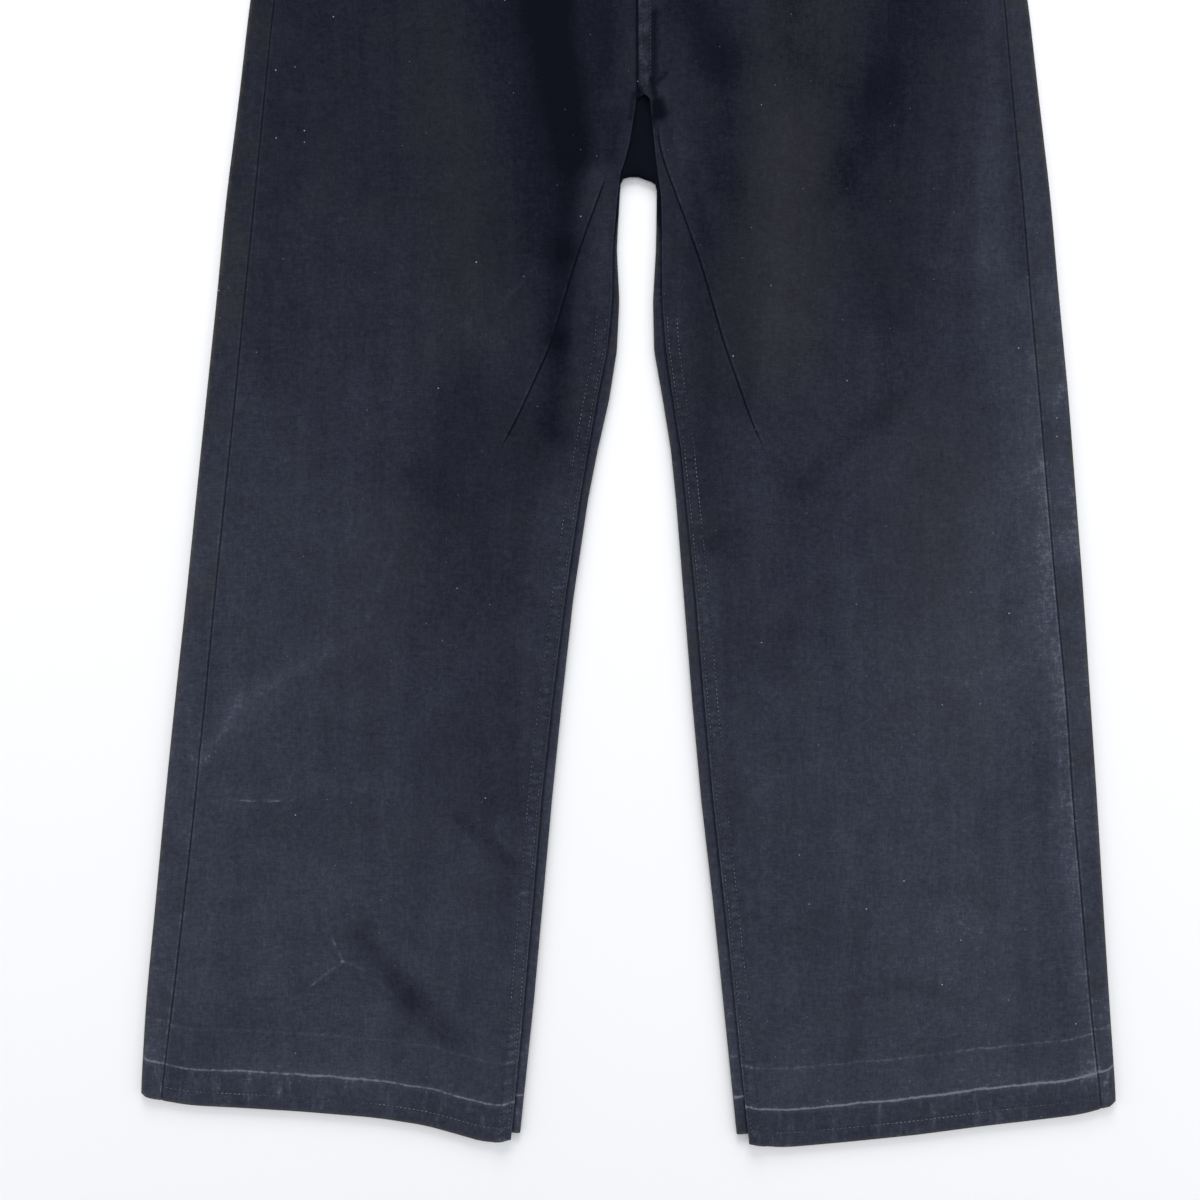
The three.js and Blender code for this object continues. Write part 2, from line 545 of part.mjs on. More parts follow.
/** A back leg or yoke: flat underneath, folded up round both edges, its strips lying on the front.
 *  Above the crotch it stops at the centre seam instead of the inner fold. */
function backPanel(side, part) {
  const rows = backRows(side, part);
  const face = [];
  const inside = [];
  for (const row of rows) {
    const faceRow = [];
    const insideRow = [];
    const add = (x, y, z, thickness) => {
      faceRow.push(point(x, y, z));
      insideRow.push(point(x, y, z + thickness));
    };
    const length = Math.hypot(row.innerX - row.outerX, row.innerY - row.outerY);
    const inX = (row.innerX - row.outerX) / length;
    const inY = (row.innerY - row.outerY) / length;
    const onRow = (x) => lerp(row.outerY, row.innerY, acrossRow(row, x));
    const hasLip = row.lipX !== undefined;
    const radius = IN_FOLD / 2;
    let start = 0;
    if (hasLip) {
      const lipY = row.lipY ?? onRow(row.lipX);
      const lipFace = (y) => lerp(IN_FOLD, CROTCH_LIP, passing("crotchLip", y));
      const away = Math.hypot(row.lipX - row.innerX, lipY - row.innerY);
      const [lipDX, lipDY] = [(row.lipX - row.innerX) / away, (lipY - row.innerY) / away];
      const lapY = row.lipY === undefined ? onRow(row.lapX) : lerp(row.innerY, row.lipY, 0.5);
      add(row.lipX, lipY, lipFace(lipY), -row.thick);
      add(row.lapX, lapY, lipFace(lapY), -row.thick);
      faceRow.push(...foldArc(row.innerX, row.innerY, lipDX, lipDY, radius, radius));
      insideRow.push(...foldArc(row.innerX, row.innerY, lipDX, lipDY, radius, radius - row.thick));
      start = faceRow.length - 1;
    } else {
      for (let k = 0; k < ARC_STEPS + 3; k++) add(row.innerX, row.innerY, 0, row.thick);
      start = faceRow.length - 1;
    }
    const from = faceRow[start];
    const to = point(row.outerX + inX * OUT_FOLD / 2, row.outerY + inY * OUT_FOLD / 2, 0);
    for (const across of [0.9, 0.85, 0.68, 0.5, 0.35, 0.22, 0.17, 0.08]) {
      const t = 1 - across;
      const raise = part === "yoke" ? 0 : pocketRaise(row.outerY, across, "back");
      add(lerp(from.x, to.x, t), lerp(from.y, to.y, t), raise, row.thick);
    }
    const outerArc = (r) => foldArc(row.outerX, row.outerY, inX, inY, OUT_FOLD / 2, r).reverse();
    faceRow.push(...outerArc(OUT_FOLD / 2));
    insideRow.push(...outerArc(OUT_FOLD / 2 - row.thick));
    const seamEnd = row.seamX - Math.sign(inX) * SEAM_GAP / 2;
    const shoulder = seamEnd - Math.sign(inX) * 1.8;
    add(shoulder, onRow(shoulder), OUT_FOLD, -row.thick);
    add(seamEnd, onRow(seamEnd), OUT_FOLD - SEAM_DIP, -row.thick);
    for (const p of [...faceRow, ...insideRow]) {
      if (row.wave) p.y -= row.wave * Math.min(0, waveAt(side, row, clamp(acrossRow(row, p.x), 0, 1)));
      if (p.z > OUT_FOLD * 0.7 && !row.wave) p.y -= waistDip(p.x, row.outerY);
    }
    face.push(faceRow);
    inside.push(insideRow);
  }
  const lastLip = rows.findLastIndex((row) => row.lipX !== undefined);
  const foldColumns = ARC_STEPS + 2;
  return wallBetween(face, inside, (i, j) => j >= foldColumns || i < lastLip);
}

/** The waistband: one doubled strip from its under end, round both side folds, to its lapping end.
 *  Each stop gives a place across the waist, a face height, and which layer it lies on. */
function waistbandStops() {
  const stops = [];
  const front = (x, z) => stops.push({ x, z, layer: "front" });
  const w = WAIST_HALF_BAND;
  const radius = BAND_FACE / 2;
  for (const x of [BAND_UNDER_END, CENTRE_X, -30, -80, -130, -180]) front(x, BAND_FACE);
  const arc = (sideSign, from, to) => {
    for (let k = 0; k <= ARC_STEPS; k++) {
      const angle = lerp(from, to, k / ARC_STEPS);
      stops.push({ fold: sideSign, angle, radius });
    }
  };
  arc(-1, Math.PI / 2, -Math.PI / 2);
  const backAt = (x, z) => stops.push({ x, z, layer: "back" });
  backAt(CENTRE_X - w * 0.75, 0);
  for (const middle of Object.values(BACK_LOOPS)) {
    const reach = LOOP.half + LOOP.clear;
    backAt(middle - reach - LOOP.slope, 0);
    backAt(middle - reach, UNDER_RAISE);
    backAt(middle + reach, UNDER_RAISE);
    backAt(middle + reach + LOOP.slope, 0);
  }
  backAt(CENTRE_X + w * 0.75, 0);
  arc(1, -Math.PI / 2, Math.PI / 2);
  for (const x of [190, 140, 95, BAND_UNDER_END + 18]) front(x, BAND_FACE);
  for (const x of [BAND_UNDER_END + 4, 20, BAND_LAP_END]) front(x, BAND_LAP_FACE);
  return stops;
}

/** A stop of the waistband at a height up the band, on its face or moved in by a thickness. */
function bandPoint(stop, up, thickness) {
  const half = lerp(WAIST_HALF_BAND, WAIST_HALF_TOP, up);
  const y = lerp(BAND_Y, WAIST_Y, up);
  if (stop.fold) {
    const r = stop.radius - thickness;
    const out = half - stop.radius + r * Math.cos(stop.angle);
    return point(CENTRE_X + 0.35 + stop.fold * out, y, stop.radius + r * Math.sin(stop.angle));
  }
  const x = CENTRE_X + (stop.x - CENTRE_X) * (half / WAIST_HALF_BAND);
  const dip = stop.layer === "front" ? WAIST_DIP * (1 - ((x - CENTRE_X) / half) ** 2) : 0;
  const z = stop.z + (stop.layer === "front" ? -thickness : thickness);
  return point(x, y - dip, z);
}

/** The waistband, with the buttonhole cut through its lapping end. */
function waistband() {
  const ups = [0, 0.5, 1];
  const stops = waistbandStops();
  const grid = (thickness) => ups.map((up) => stops.map((stop) => bandPoint(stop, up, thickness)));
  const band = wallBetween(grid(0), grid(BAND_CLOTH));
  const hole = new THREE.BoxGeometry(BUTTONHOLE.long, BUTTONHOLE.wide, BAND_CLOTH + 0.5);
  hole.translate(BUTTON.x + 4, BUTTON.y, BAND_LAP_FACE - BAND_CLOTH / 2);
  return cutAway(band, hole);
}

/** A geometry as a solid for cutting: only its places are kept, and shared corners are merged. */
function asSolid(geometry) {
  const bare = geometry.clone();
  bare.deleteAttribute("normal");
  bare.deleteAttribute("uv");
  const merged = mergeVertices(bare, 1e-3);
  return new wasm.Manifold(
    new wasm.Mesh({
      numProp: 3,
      vertProperties: new Float32Array(merged.attributes.position.array),
      triVerts: new Uint32Array(merged.index.array),
    }),
  );
}

/** One geometry less another. */
function cutAway(geometry, cutter) {
  const mesh = asSolid(geometry).subtract(asSolid(cutter)).getMesh();
  const cut = new THREE.BufferGeometry();
  cut.setAttribute("position", new THREE.Float32BufferAttribute(mesh.vertProperties, 3));
  cut.setIndex(new THREE.Uint32BufferAttribute(mesh.triVerts, 1));
  return cut;
}

/** A flat plate of an outline, from one height up to another. */
function plate(outline, bottom, top) {
  const shape = new THREE.Shape(outline.map(([x, y]) => new THREE.Vector2(x, y)));
  const geometry = new THREE.ExtrudeGeometry(shape, { depth: top - bottom, bevelEnabled: false });
  geometry.translate(0, 0, bottom);
  return geometry;
}

/** The scooped pocket mouth: a quarter round whose low end lies on the side seam. */
function mouthOutline(side) {
  const middleX = read(OUTER[side], "seam", BAND_Y - FRONT_MOUTH.depth);
  const outline = [];
  for (let k = 0; k < FRONT_MOUTH.cuts * 2; k++) {
    const angle = (Math.PI * k) / FRONT_MOUTH.cuts;
    const x = middleX + FRONT_MOUTH.reach * Math.cos(angle);
    outline.push([x, BAND_Y + FRONT_MOUTH.depth * Math.sin(angle)]);
  }
  return outline;
}

/** The piece of cloth that shows inside a pocket mouth, reaching under the front and the side seam. */
function pocketFacing(side) {
  const inward = side === "left" ? 1 : -1;
  const topY = BAND_Y - 1;
  const lowY = BAND_Y - FRONT_MOUTH.depth - FACING.past;
  const seamAt = (y) => read(OUTER[side], "seam", y) - inward * FACING.under;
  const outline = [];
  for (const y of [lowY, 400, topY]) outline.push([seamAt(y), y]);
  const wide = FRONT_MOUTH.reach + FACING.past;
  const middleX = read(OUTER[side], "seam", BAND_Y - FRONT_MOUTH.depth);
  for (const angle of [0, 0.25, 0.5, 0.75, 1]) {
    const turn = (angle * Math.PI) / 2;
    const y = topY - (topY - lowY) * Math.sin(turn);
    outline.push([middleX + inward * wide * Math.cos(turn), Math.min(y, topY - WAIST_DIP * 0.7)]);
  }
  outline.pop();
  return plate(outline, FACING.bottom, FACING.bottom + CLOTH);
}

/** A patch pocket on the seat: straight sides, a slanted mouth parallel to the yoke, a pointed end. */
function backPocket(side) {
  const inward = side === "left" ? 1 : -1;
  const { half, lowHalf, top, slant, height, tip } = BACK_POCKET;
  const middle = POCKET_X[side];
  const outline = [
    [middle - inward * half, top],
    [middle + inward * half, top - slant],
    [middle + inward * lowHalf, top - height],
    [middle, top - height - tip],
    [middle - inward * lowHalf, top - height],
  ];
  return plate(outline, 0, CLOTH);
}

/** A belt loop lying along the waistband: flat under the back, arched over the front. */
function beltLoop(middle, layer) {
  const across = [middle - LOOP.half, middle + LOOP.half];
  const ups = layer === "back" ? [0.04, 0.96] : [0.02, 0.12, 0.3, 0.5, 0.7, 0.88, 0.98];
  const arch = (up) => BAND_FACE + SEAM_GAP + CLOTH + 0.8 * step(0.05, 0.3, Math.min(up, 1 - up));
  const height = (up) => (layer === "back" ? 0 : arch(up));
  const grid = (thickness) =>
    ups.map((up) => across.map((x) => bandPoint({ x, z: height(up), layer }, up, thickness)));
  return wallBetween(grid(0), grid(CLOTH));
}

/** The zip's tape and closed teeth, lying under the fly's lap beside the other front's edge. */
function zip() {
  const from = read(INNER.left, "seam", BAND_Y) + SEAM_GAP;
  const face = [];
  const inside = [];
  for (const y of [FLY_BOTTOM_Y + 2, 340, 380, 405, 420, 433, 443]) {
    const z = innerEdgeFace(y);
    face.push([from, from + ZIP_WIDTH].map((x) => point(x, y, z - 0.1)));
    inside.push([from, from + ZIP_WIDTH].map((x) => point(x, y, z - CLOTH)));
  }
  return wallBetween(face, inside);
}

/** The tack button, passing through the buttonhole on its shank. */
function button() {
  const base = BAND_LAP_FACE + SEAM_GAP;
  const { radius, rim, face, shank } = BUTTON;
  const profile = [
    [0, BAND_FACE + SEAM_GAP],
    [shank, BAND_FACE + SEAM_GAP],
    [shank, base],
    [radius - 0.6, base],
    [radius, base + 0.6],
    [radius, base + face - 0.5],
    [radius - 0.6, base + face],
    [radius - rim - 0.8, base + face],
    [radius - rim - 1.5, base + face - 0.7],
    [0, base + face - 0.4],
  ];
  const geometry = new THREE.LatheGeometry(profile.map(([r, z]) => new THREE.Vector2(r, z)), 24);
  geometry.rotateX(Math.PI / 2);
  geometry.translate(BUTTON.x, BUTTON.y, 0);
  return geometry;
}

const jeans = new THREE.Group();

function sewOn(name, geometry, finish) {
  const mesh = new THREE.Mesh(geometry, new THREE.MeshStandardMaterial(finish));
  mesh.name = name;
  jeans.add(mesh);
}

for (const side of ["left", "right"]) {
  const mouth = plate(mouthOutline(side), 1, BAND_FACE);
  sewOn(`front_${side}`, cutAway(frontPanel(side), mouth), blackCotton);
  sewOn(`back_${side}`, backPanel(side, "leg"), blackCotton);
  sewOn(`yoke_${side}`, backPanel(side, "yoke"), blackCotton);
  sewOn(`pocket_facing_${side}`, pocketFacing(side), blackCotton);
  sewOn(`back_pocket_${side}`, backPocket(side), blackCotton);
}
sewOn("waistband", waistband(), blackCotton);
for (const [name, middle] of Object.entries(BACK_LOOPS)) {
  sewOn(`belt_loop_${name}`, beltLoop(middle, "back"), blackCotton);
}
for (const [name, middle] of Object.entries(FRONT_LOOPS)) {
  sewOn(`belt_loop_${name}`, beltLoop(middle, "front"), blackCotton);
}
sewOn("zip", zip(), darkTape);
sewOn("button", button(), gunmetal);

export default jeans;
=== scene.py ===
"""Black wide-leg jeans laid flat on a pale floor, seen from straight above.

The cloth is worked out in millimetres, on the same sections as the solids that it stands for, and put into
the meshes in metres. "left" and "right" are the viewer's sides. Rows of a leg are named by their height at
its outer edge, outer_y; below the crotch they slant with the splayed leg.
"""

import math

import bpy
import numpy as np
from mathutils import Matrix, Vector


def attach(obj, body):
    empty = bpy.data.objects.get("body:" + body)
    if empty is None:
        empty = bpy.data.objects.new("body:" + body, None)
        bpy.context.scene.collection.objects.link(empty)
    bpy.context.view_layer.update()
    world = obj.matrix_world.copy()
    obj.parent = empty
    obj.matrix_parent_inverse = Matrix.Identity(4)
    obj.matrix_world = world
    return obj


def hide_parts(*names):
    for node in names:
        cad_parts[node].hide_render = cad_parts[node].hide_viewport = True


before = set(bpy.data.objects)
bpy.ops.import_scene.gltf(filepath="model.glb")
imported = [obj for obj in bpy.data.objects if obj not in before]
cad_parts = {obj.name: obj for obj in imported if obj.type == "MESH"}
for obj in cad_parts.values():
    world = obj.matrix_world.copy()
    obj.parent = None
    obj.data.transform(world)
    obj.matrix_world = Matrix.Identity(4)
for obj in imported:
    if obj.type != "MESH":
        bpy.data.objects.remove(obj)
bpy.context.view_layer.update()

MM = 0.001

# Cloth and seams
CLOTH = 1.1
HEM_CLOTH = 1.8
BAND_CLOTH = 2.2
SEAM_GAP = 0.3
SEAM_SHUT = 0.03  # half the gap left at the centre back seam
HEM_DEPTH = 9.0
HEM_THINS = 0.8  # height over which the doubled hem thins to one cloth
FELL = 8.5
LAP_HOLDS = {"inseam": 9.1, "rise": 12.1, "fly": 21.6}  # widths over which a lap holds its cloth up

# Lengths down the garment
WAIST_Y = 494.2
BAND_Y = WAIST_Y - 40.0
WAIST_DIP = 9.0
FLY_BOTTOM_Y = 308.0
CROTCH_FOLD_Y = 185.4
YOKE_SIDE_Y = 413.0
YOKE_DROP = 28.0
SLANT_Y = 160.0
CENTRE_X = 7.0
WAIST_HALF_TOP = 218.0
WAIST_HALF_BAND = 235.6

# Heights of the cloth's face
OUT_FOLD = 4.6
IN_FOLD = 4.4
REST_FACE = 3.2
LOWEST_FACE = 2.8
LAP_FACE = IN_FOLD + SEAM_GAP + CLOTH
HEM_FACE = 4.3
CROTCH_LIP = 2.6
CENTRE_FACE = 4.3
FLY_FACE = 3.3
WAIST_FACE = 4.9
BAND_FACE = 6.1
BAND_LAP_FACE = BAND_FACE + SEAM_GAP + BAND_CLOTH
UNDER_RAISE = CLOTH + SEAM_GAP + 0.1

# Thread, and how far its rows lie from the edges that they hold
STITCH = {"pitch": 3.0, "gap": 1.1, "radius": 0.27}
UNDER_THREAD = 0.05  # height of a row's middle on the underside
TWIN_ROWS = (2.4, 9.1)
CENTRE_ROWS = (2.4, 8.9)
FLY_ROWS = (34.0, 40.2)
POCKET_ROWS = (2.0, 8.0)
POCKET_MOUTH_ROWS = (12.0, 18.0)
HEM_STITCH = 9.6
BAND_STITCH = 2.4
LOOP_STITCH = 1.6
HOLE_STITCH = {"from": 0.2, "to": 1.9, "radius": 0.2}
# Heights where rows start and end; the fly's are straight for a share of their length, then turn in
INSEAM_TOP_Y = 92.0
SEAT_BOTTOM_Y = 190.0
RISE_Y = {"top": 311.0, "point": 241.5}
FLY = {"top": 452.5, "turn": 362.0, "straight": 0.55, "deeper": 6.0, "end": 1.5}
# The rise's twin rows: distance from the edge, and how far each draws in below a height, to meet in a point
RISE_ROWS = ((2.4, 2.2, 254), (8.6, -4.0, 262))

# Columns across the back's sections: its lip, a folded edge, the floor and the strip on the front
LIP_STEPS = 12
ARC_STEPS = 8
FLOOR_STEPS = 43
STRIP_AT = np.array([0.12, 0.3, 0.5, 0.68, 0.82, 0.9, 0.95, 0.98, 1.0])
# Where rows and columns crowd: distances from the hem, the side seam, the dart and the lapping edge
BY_HEM = np.array([0, 0.3, 0.7, 1.3, 2.2, 3.6, 5, 6.5, 8, 8.9, 9.5, 10, 10.8, 12, 14])
BY_BACK_HEM = np.array([0, 0.4, 1, 2, 4, 6.5, 8.6, 9.4, 10.4, 13])
BY_SEAM = np.array([0, 0.3, 0.7, 1.2, 2, 3.2, 5, 7.5])
BY_DART = np.array([-6, -4.4, -3.2, -2.3, -1.6, -1, -0.5, 0, 0.5, 1, 1.7, 3.0])
BY_EDGE = np.array([15, 12.5, 11.3, 10.4, 9.8, 9.1, 8.4, 7.2, 5.8, 4.4, 3.2, 2.4, 1.6, 1, 0.5, 0.2, 0])
PAST_HEM = 16.0

# Heights between which the front passes from one way of lying to the next
PASSES = {
    "over_crotch": (186, 244),
    "crotch_lip": (186, 224),
    "one_lap": (225, 239),
    "over_fly": (250, 300),
    "fly_lap": (290, FLY_BOTTOM_Y),
    "facing": (318, 344),
    "dip": (330, BAND_Y),
    "over_band": (400, 446),
    "inseam_sewn": (90, 72),
}
# How far in from an edge its seam, lap or hem holds the front up, with the slopes and drops beside it
HELD = {
    "seam": 38,
    "lap": 34,
    "lap_flat": 7,
    "lap_slope": 2.4,
    "lap_drop": 0.9,
    "hem": 26,
    "hem_slope": 7,
    "facing": (136, 180),
    "facing_lift": 0.1,
    "waist_drop": 0.3,
}
# Slopes over the back pocket, as distances past its low and high ends
POCKET_RISE = {"back": ((8, 0), (0, 12)), "front": ((38, 20), (16, 38))}
# How deep and how wide the cloth sinks: edges roll in, and rows of stitches draw it down
SUNK = {
    "seam_edge": (0.75, 0.9),
    "lap_edge": (0.35, 0.55),
    "hem_edge": (0.3, 0.6),
    "inseam_row": (0.25, 0.8),
    "hem_row": (0.25, 1.1),
    "band_edge": (0.55, 0.9),
    "band_row": (0.2, 0.8),
    "loop_edge": (0.3, 0.7),
    "loop_row": (0.12, 0.6),
}
# Slow unevenness: its height, wavelength and seed
RUFFLED = {
    "front": (0.22, 60, 3),
    "front_close": (0.07, 17, 5),
    "front_edge": (0.16, 26, 17),
    "lip": (0.1, 22, 23),
    "strip": (0.16, 34, 29),
    "strip_close": (0.1, 12, 31),
    "band": (0.14, 28, 41),
    "facing": (0.08, 30, 47),
    "pucker_phase": (2.2, 30, 11),
    "rope_phase": (1.5, 40, 13),
}
# Puckers between an inseam's rows, and the slanting ridges that roping gives a hem
PUCKERS = {"pitch": 6.2, "middle": 5.6, "width": 3.4, "height": 0.24, "lift": 0.1}
ROPING = {"pitch": 9.0, "slant": 0.6, "height": 0.14, "starts": (0.5, 4), "ends": (12.6, 8.6)}
# The cloth beside a dart: height, distance past the dart, width
DART_FORM = ((0.5, -2.4, 2.2), (-0.8, 0.0, 0.8), (-0.15, 3.0, 2.5))


def table(columns, *rows):
    """A short table as one array for each named column."""
    values = np.array(rows, float)
    return {name: values[:, k] for k, name in enumerate(columns.split())}


OUTER = {
    "left": table(
        "y edge seam",
        (494, -210.7, -193),
        (454, -228.3, -211),
        (400, -247, -229.5),
        (350, -259.2, -241.8),
        (308, -265.7, -248.4),
        (239, -273.4, -255.2),
        (169, -282.5, -262),
        (99, -289, -269),
        (29, -296.4, -275.7),
        (-41, -303.5, -283.1),
        (-111, -310.5, -290.1),
        (-181, -318.1, -296.8),
        (-251, -325.2, -303.6),
        (-321, -331.6, -311.2),
        (-391, -338.4, -319.4),
        (-459, -342.3, -328),
    ),
    "right": table(
        "y edge seam",
        (494, 225.4, 208),
        (454, 243, 225.8),
        (400, 261.7, 244.5),
        (350, 273.9, 257),
        (308, 280.4, 263.4),
        (239, 288.1, 269.2),
        (169, 296.3, 276.2),
        (99, 302.2, 281.9),
        (29, 308.9, 288),
        (-41, 314.1, 293.8),
        (-111, 319.5, 300),
        (-181, 324, 306.8),
        (-251, 328.7, 311.3),
        (-321, 332.8, 317.4),
        (-391, 337.2, 323.3),
        (-465, 342.3, 331.6),
    ),
}
INNER = {
    "left": table(
        "y edge seam",
        (454, 6.85, 8.4),
        (309, 6.85, 8.4),
        (306, 6.85, 16.7),
        (247, 6.85, 16.7),
        (240, 6.85, 5.4),
        (225, 6.85, 3.2),
        (211, 6.85, 1.1),
        (197, 6.85, -2.4),
        (188, -4.6, -5.6),
        (169, -6.6, -7.9),
        (134, -8.1, -11.1),
        (99, -6.4, -11.6),
        (64, -8.1, -15),
        (29, -13.6, -22.1),
        (-6, -21.6, -28.3),
        (-41, -28.4, -34.3),
        (-111, -38.8, -44.5),
        (-181, -46.5, -53.3),
        (-251, -53.6, -61),
        (-321, -59.9, -66.9),
        (-391, -66.2, -73.2),
        (-489, -76.4, -82.4),
    ),
    "right": table(
        "y edge seam",
        (454, 7.15, 6.7),
        (247, 7.15, 6.7),
        (240, 7.15, 15),
        (218, 7.15, 17.2),
        (197, 7.15, 19.3),
        (184, 20, 21),
        (169, 20, 23),
        (134, 19.2, 23.5),
        (99, 17.2, 23.6),
        (64, 17.9, 26.2),
        (29, 24.1, 31.2),
        (-6, 29.7, 36.7),
        (-41, 33.3, 40.2),
        (-111, 38.9, 47.2),
        (-181, 44.5, 52.9),
        (-251, 50.9, 59.2),
        (-321, 59, 66.8),
        (-391, 66.2, 74.5),
        (-489, 76.2, 84.4),
    ),
}
DART = {
    "left": table(
        "y x", (454, -22), (240, -9), (190, -14), (176, -18.9), (127, -37.2), (71, -54.3), (18, -79.5),
        (-4, -92), (-60, -108), (-489, -140),
    ),
    "right": table(
        "y x", (454, 44), (240, 22), (213, 20), (192, 25.4), (176, 31.6), (127, 50.2), (71, 66.9), (15, 87.2),
        (-4, 97), (-60, 110), (-489, 140),
    ),
}
DART_TOP = {"left": 176.0, "right": 211.0}
# Heights over which a dart opens above its point, and closes past its top
DART_OPENS = (-6.0, 16.0)
DART_CLOSES = (14.0, -4.0)
HEM = {
    "left": {"outer_y": -459.2, "inner_y": -487.5},
    "right": {"outer_y": -464.8, "inner_y": -488.4},
}
WAVE = {
    "left": table(
        "across drop", (0, 0), (0.13, 2.4), (0.27, 0.3), (0.42, -1.5), (0.62, -2.8), (0.75, -1.2),
        (0.85, 3.4), (0.92, 6.4), (0.965, 3.4), (1, -1.2),
    ),
    "right": table(
        "across drop", (0, 0), (0.1, 4.7), (0.2, 5.7), (0.36, 6.8), (0.52, 8.7), (0.68, 9.3), (0.83, 9.45),
        (0.9, 8.6), (0.95, 5.3), (1, 2),
    ),
}
WAVE_HOLDS = 58.0
WAVE_REACH = 150.0
BACK_HEM_RISE = 2.6
BACK_WAVE = 0.5  # share of the front hem's rise that the back's follows
# By its outer corner the back's hem comes down to the front's: shares across, heights above it, what stays
BACK_CORNER = {"starts": (0.0, 0.02), "ends": (0.1, 0.06), "dies": (60, 10), "stays": 0.2}
LIP_PAST_SEAM = 7.0
# What a mark reads away from its seam: this much more where the seam is on another layer, or this
FAR = 30.0
NOWHERE = 99.0
LIP_LOWEST = 1.2  # no lip lies under this height
UNPATCHED_BELOW = 1.0  # the back's patches of dye and painted shade stay above this height
CROTCH = {
    "left": table(
        "x y lip_x lip_y outer_y",
        (-5.6, 180, -13, 187, 170),
        (-3.4, 184.4, -12, 206, 178),
        (0.8, 185.4, -7, 229, 186),
        (CENTRE_X - SEAM_SHUT, CROTCH_FOLD_Y, CENTRE_X - SEAM_SHUT, 250, 194),
    ),
    "right": table(
        "x y lip_x lip_y outer_y",
        (19.8, 176, 28, 183, 168),
        (18.6, 180.4, 28, 204, 174),
        (15.8, 182.2, 27, 229, 181),
        (11.6, 183.6, 20, 251, 188),
        (CENTRE_X + SEAM_SHUT, CROTCH_FOLD_Y, CENTRE_X + SEAM_SHUT, 251, 194),
    ),
}

# Soft folds of the fronts, and the finer creases on them: a straight run, width to one side, height
FOLDS = table(
    "x1 y1 x2 y2 width height",
    (-54, 330, -46, 180, 16, -1.4),
    (-78, 350, -82, 120, 22, 1.5),
    (-44, 120, -40, -10, 10, -1.2),
    (-110, 20, -124, -150, 22, -1.1),
    (-150, -20, -188, -140, 16, 1.4),
    (-296, -220, -205, -145, 12, 0.9),
    (-230, -330, -150, -400, 14, 0.9),
    (-186, -350, -135, -412, 11, -1),
    (-110, -265, -80, -295, 9, -0.8),
    (-200, 240, -215, 60, 38, 0.9),
    (196, 330, 155, 150, 20, -1.3),
    (236, 330, 200, 130, 26, 1.3),
    (118, 300, 108, 60, 30, 1.2),
    (183, 30, 112, -35, 15, -1.1),
    (112, -35, 112, -105, 18, -1),
    (205, -60, 215, -300, 34, 1),
    (160, -160, 155, -330, 26, 0.7),
    (240, -270, 232, -360, 12, -0.7),
)
CREASES = table(
    "x1 y1 x2 y2 width height",
    (-213, -326, -200, -366, 4, 0.35),
    (-200, -366, -222, -381, 4, 0.3),
    (-200, -366, -150, -412, 5, -0.4),
    (-200, -366, -160, -372, 4, 0.25),
    (-296, -405, -205, -372, 6, 0.3),
    (-172, -245, -165, -284, 4, 0.25),
    (-280, -251, -236, -252, 3, 0.25),
    (-92, 92, -66, 118, 4, 0.3),
    (-250, 120, -232, 84, 7, 0.3),
    (-262, 240, -205, 238, 5, 0.25),
    (98, -60, 92, -110, 6, -0.3),
    (120, 250, 128, 190, 7, 0.3),
    (220, 40, 262, 38, 6, -0.3),
    (226, -265, 226, -310, 5, 0.3),
    (170, -390, 262, -350, 8, 0.3),
    (300, -215, 306, -290, 5, -0.4),
)

# Pockets, belt loops and button
MOUTH_REACH = 122.0
MOUTH_DEPTH = 75.0
FACING_BOTTOM = 1.9
POCKET_ACROSS = {"from": 0.22, "to": 0.85, "slope": 0.05, "low": 198.0, "high": 374.0}
POCKET = {"half": 74.0, "low_half": 66.0, "top": 361.0, "slant": 14.0, "height": 132.0, "tip": 20.0}
POCKET_X = {"left": -120.0, "right": 134.0}
LOOP_HALF = 6.0
BACK_LOOPS = {"back_left": -118.0, "back_centre": CENTRE_X, "back_right": 132.0}
FRONT_LOOPS = {"front_left": -96.0, "front_right": 110.0}
BAND_UNDER_END = 34.0
BAND_LAP_END = -5.0
BUTTON = {"x": CENTRE_X, "y": 466.0, "radius": 8.5}
BUTTONHOLE = {"x": CENTRE_X + 4, "long": 20.0, "wide": 4.4}
BUTTONHOLE_UPS = (0.465, 0.575)
# Rows of the waistband, as shares up it
BAND_UPS = np.array(
    [0, 0.01, 0.025, 0.045, 0.06, 0.08, 0.12, 0.2, 0.3, 0.4, *BUTTONHOLE_UPS]
    + [0.66, 0.75, 0.85, 0.91, 0.935, 0.955, 0.975, 0.99, 1.0]
)[:, None]
LOOP_ARCH = 0.8
LOOP_BARS = ((0.05, 0.085), (0.915, 0.95))
FACING_PAST = 6.0  # how far a pocket facing reaches past the mouth
FACING_UNDER = 5.0  # and under the side seam
ZIP = {"x": 8.7, "wide": 16.0, "top": 443.0, "tape": 1.0, "sunk": 0.1, "teeth_top": 438.0, "slider": 436.0}
TEETH = {"pitch": 2.3, "apart": 1.1, "half": (1.5, 0.5, 0.24)}
SLIDER_HALF = (3.4, 4.5, 0.3)

# Lamps in metres: place, size and power. All are aimed at one place on the garment
LAMPS = (
    ("window", (0.0, 2.2, 1.2), 1.3, 44.0),
    ("left_fill", (-1.9, -0.3, 1.1), 1.2, 9.0),
    ("right_fill", (1.9, -0.3, 1.1), 1.2, 11.0),
)
LAMPS_AIM = (0.0, -0.05, 0.0)
STUDIO = {"Color": (0.93, 0.95, 1.0, 1.0), "Strength": 0.66}
FLOOR = {"size": 8.0, "z": -0.0006, "tones": ((0.90, 0.90, 0.905, 1), (0.94, 0.94, 0.945, 1))}
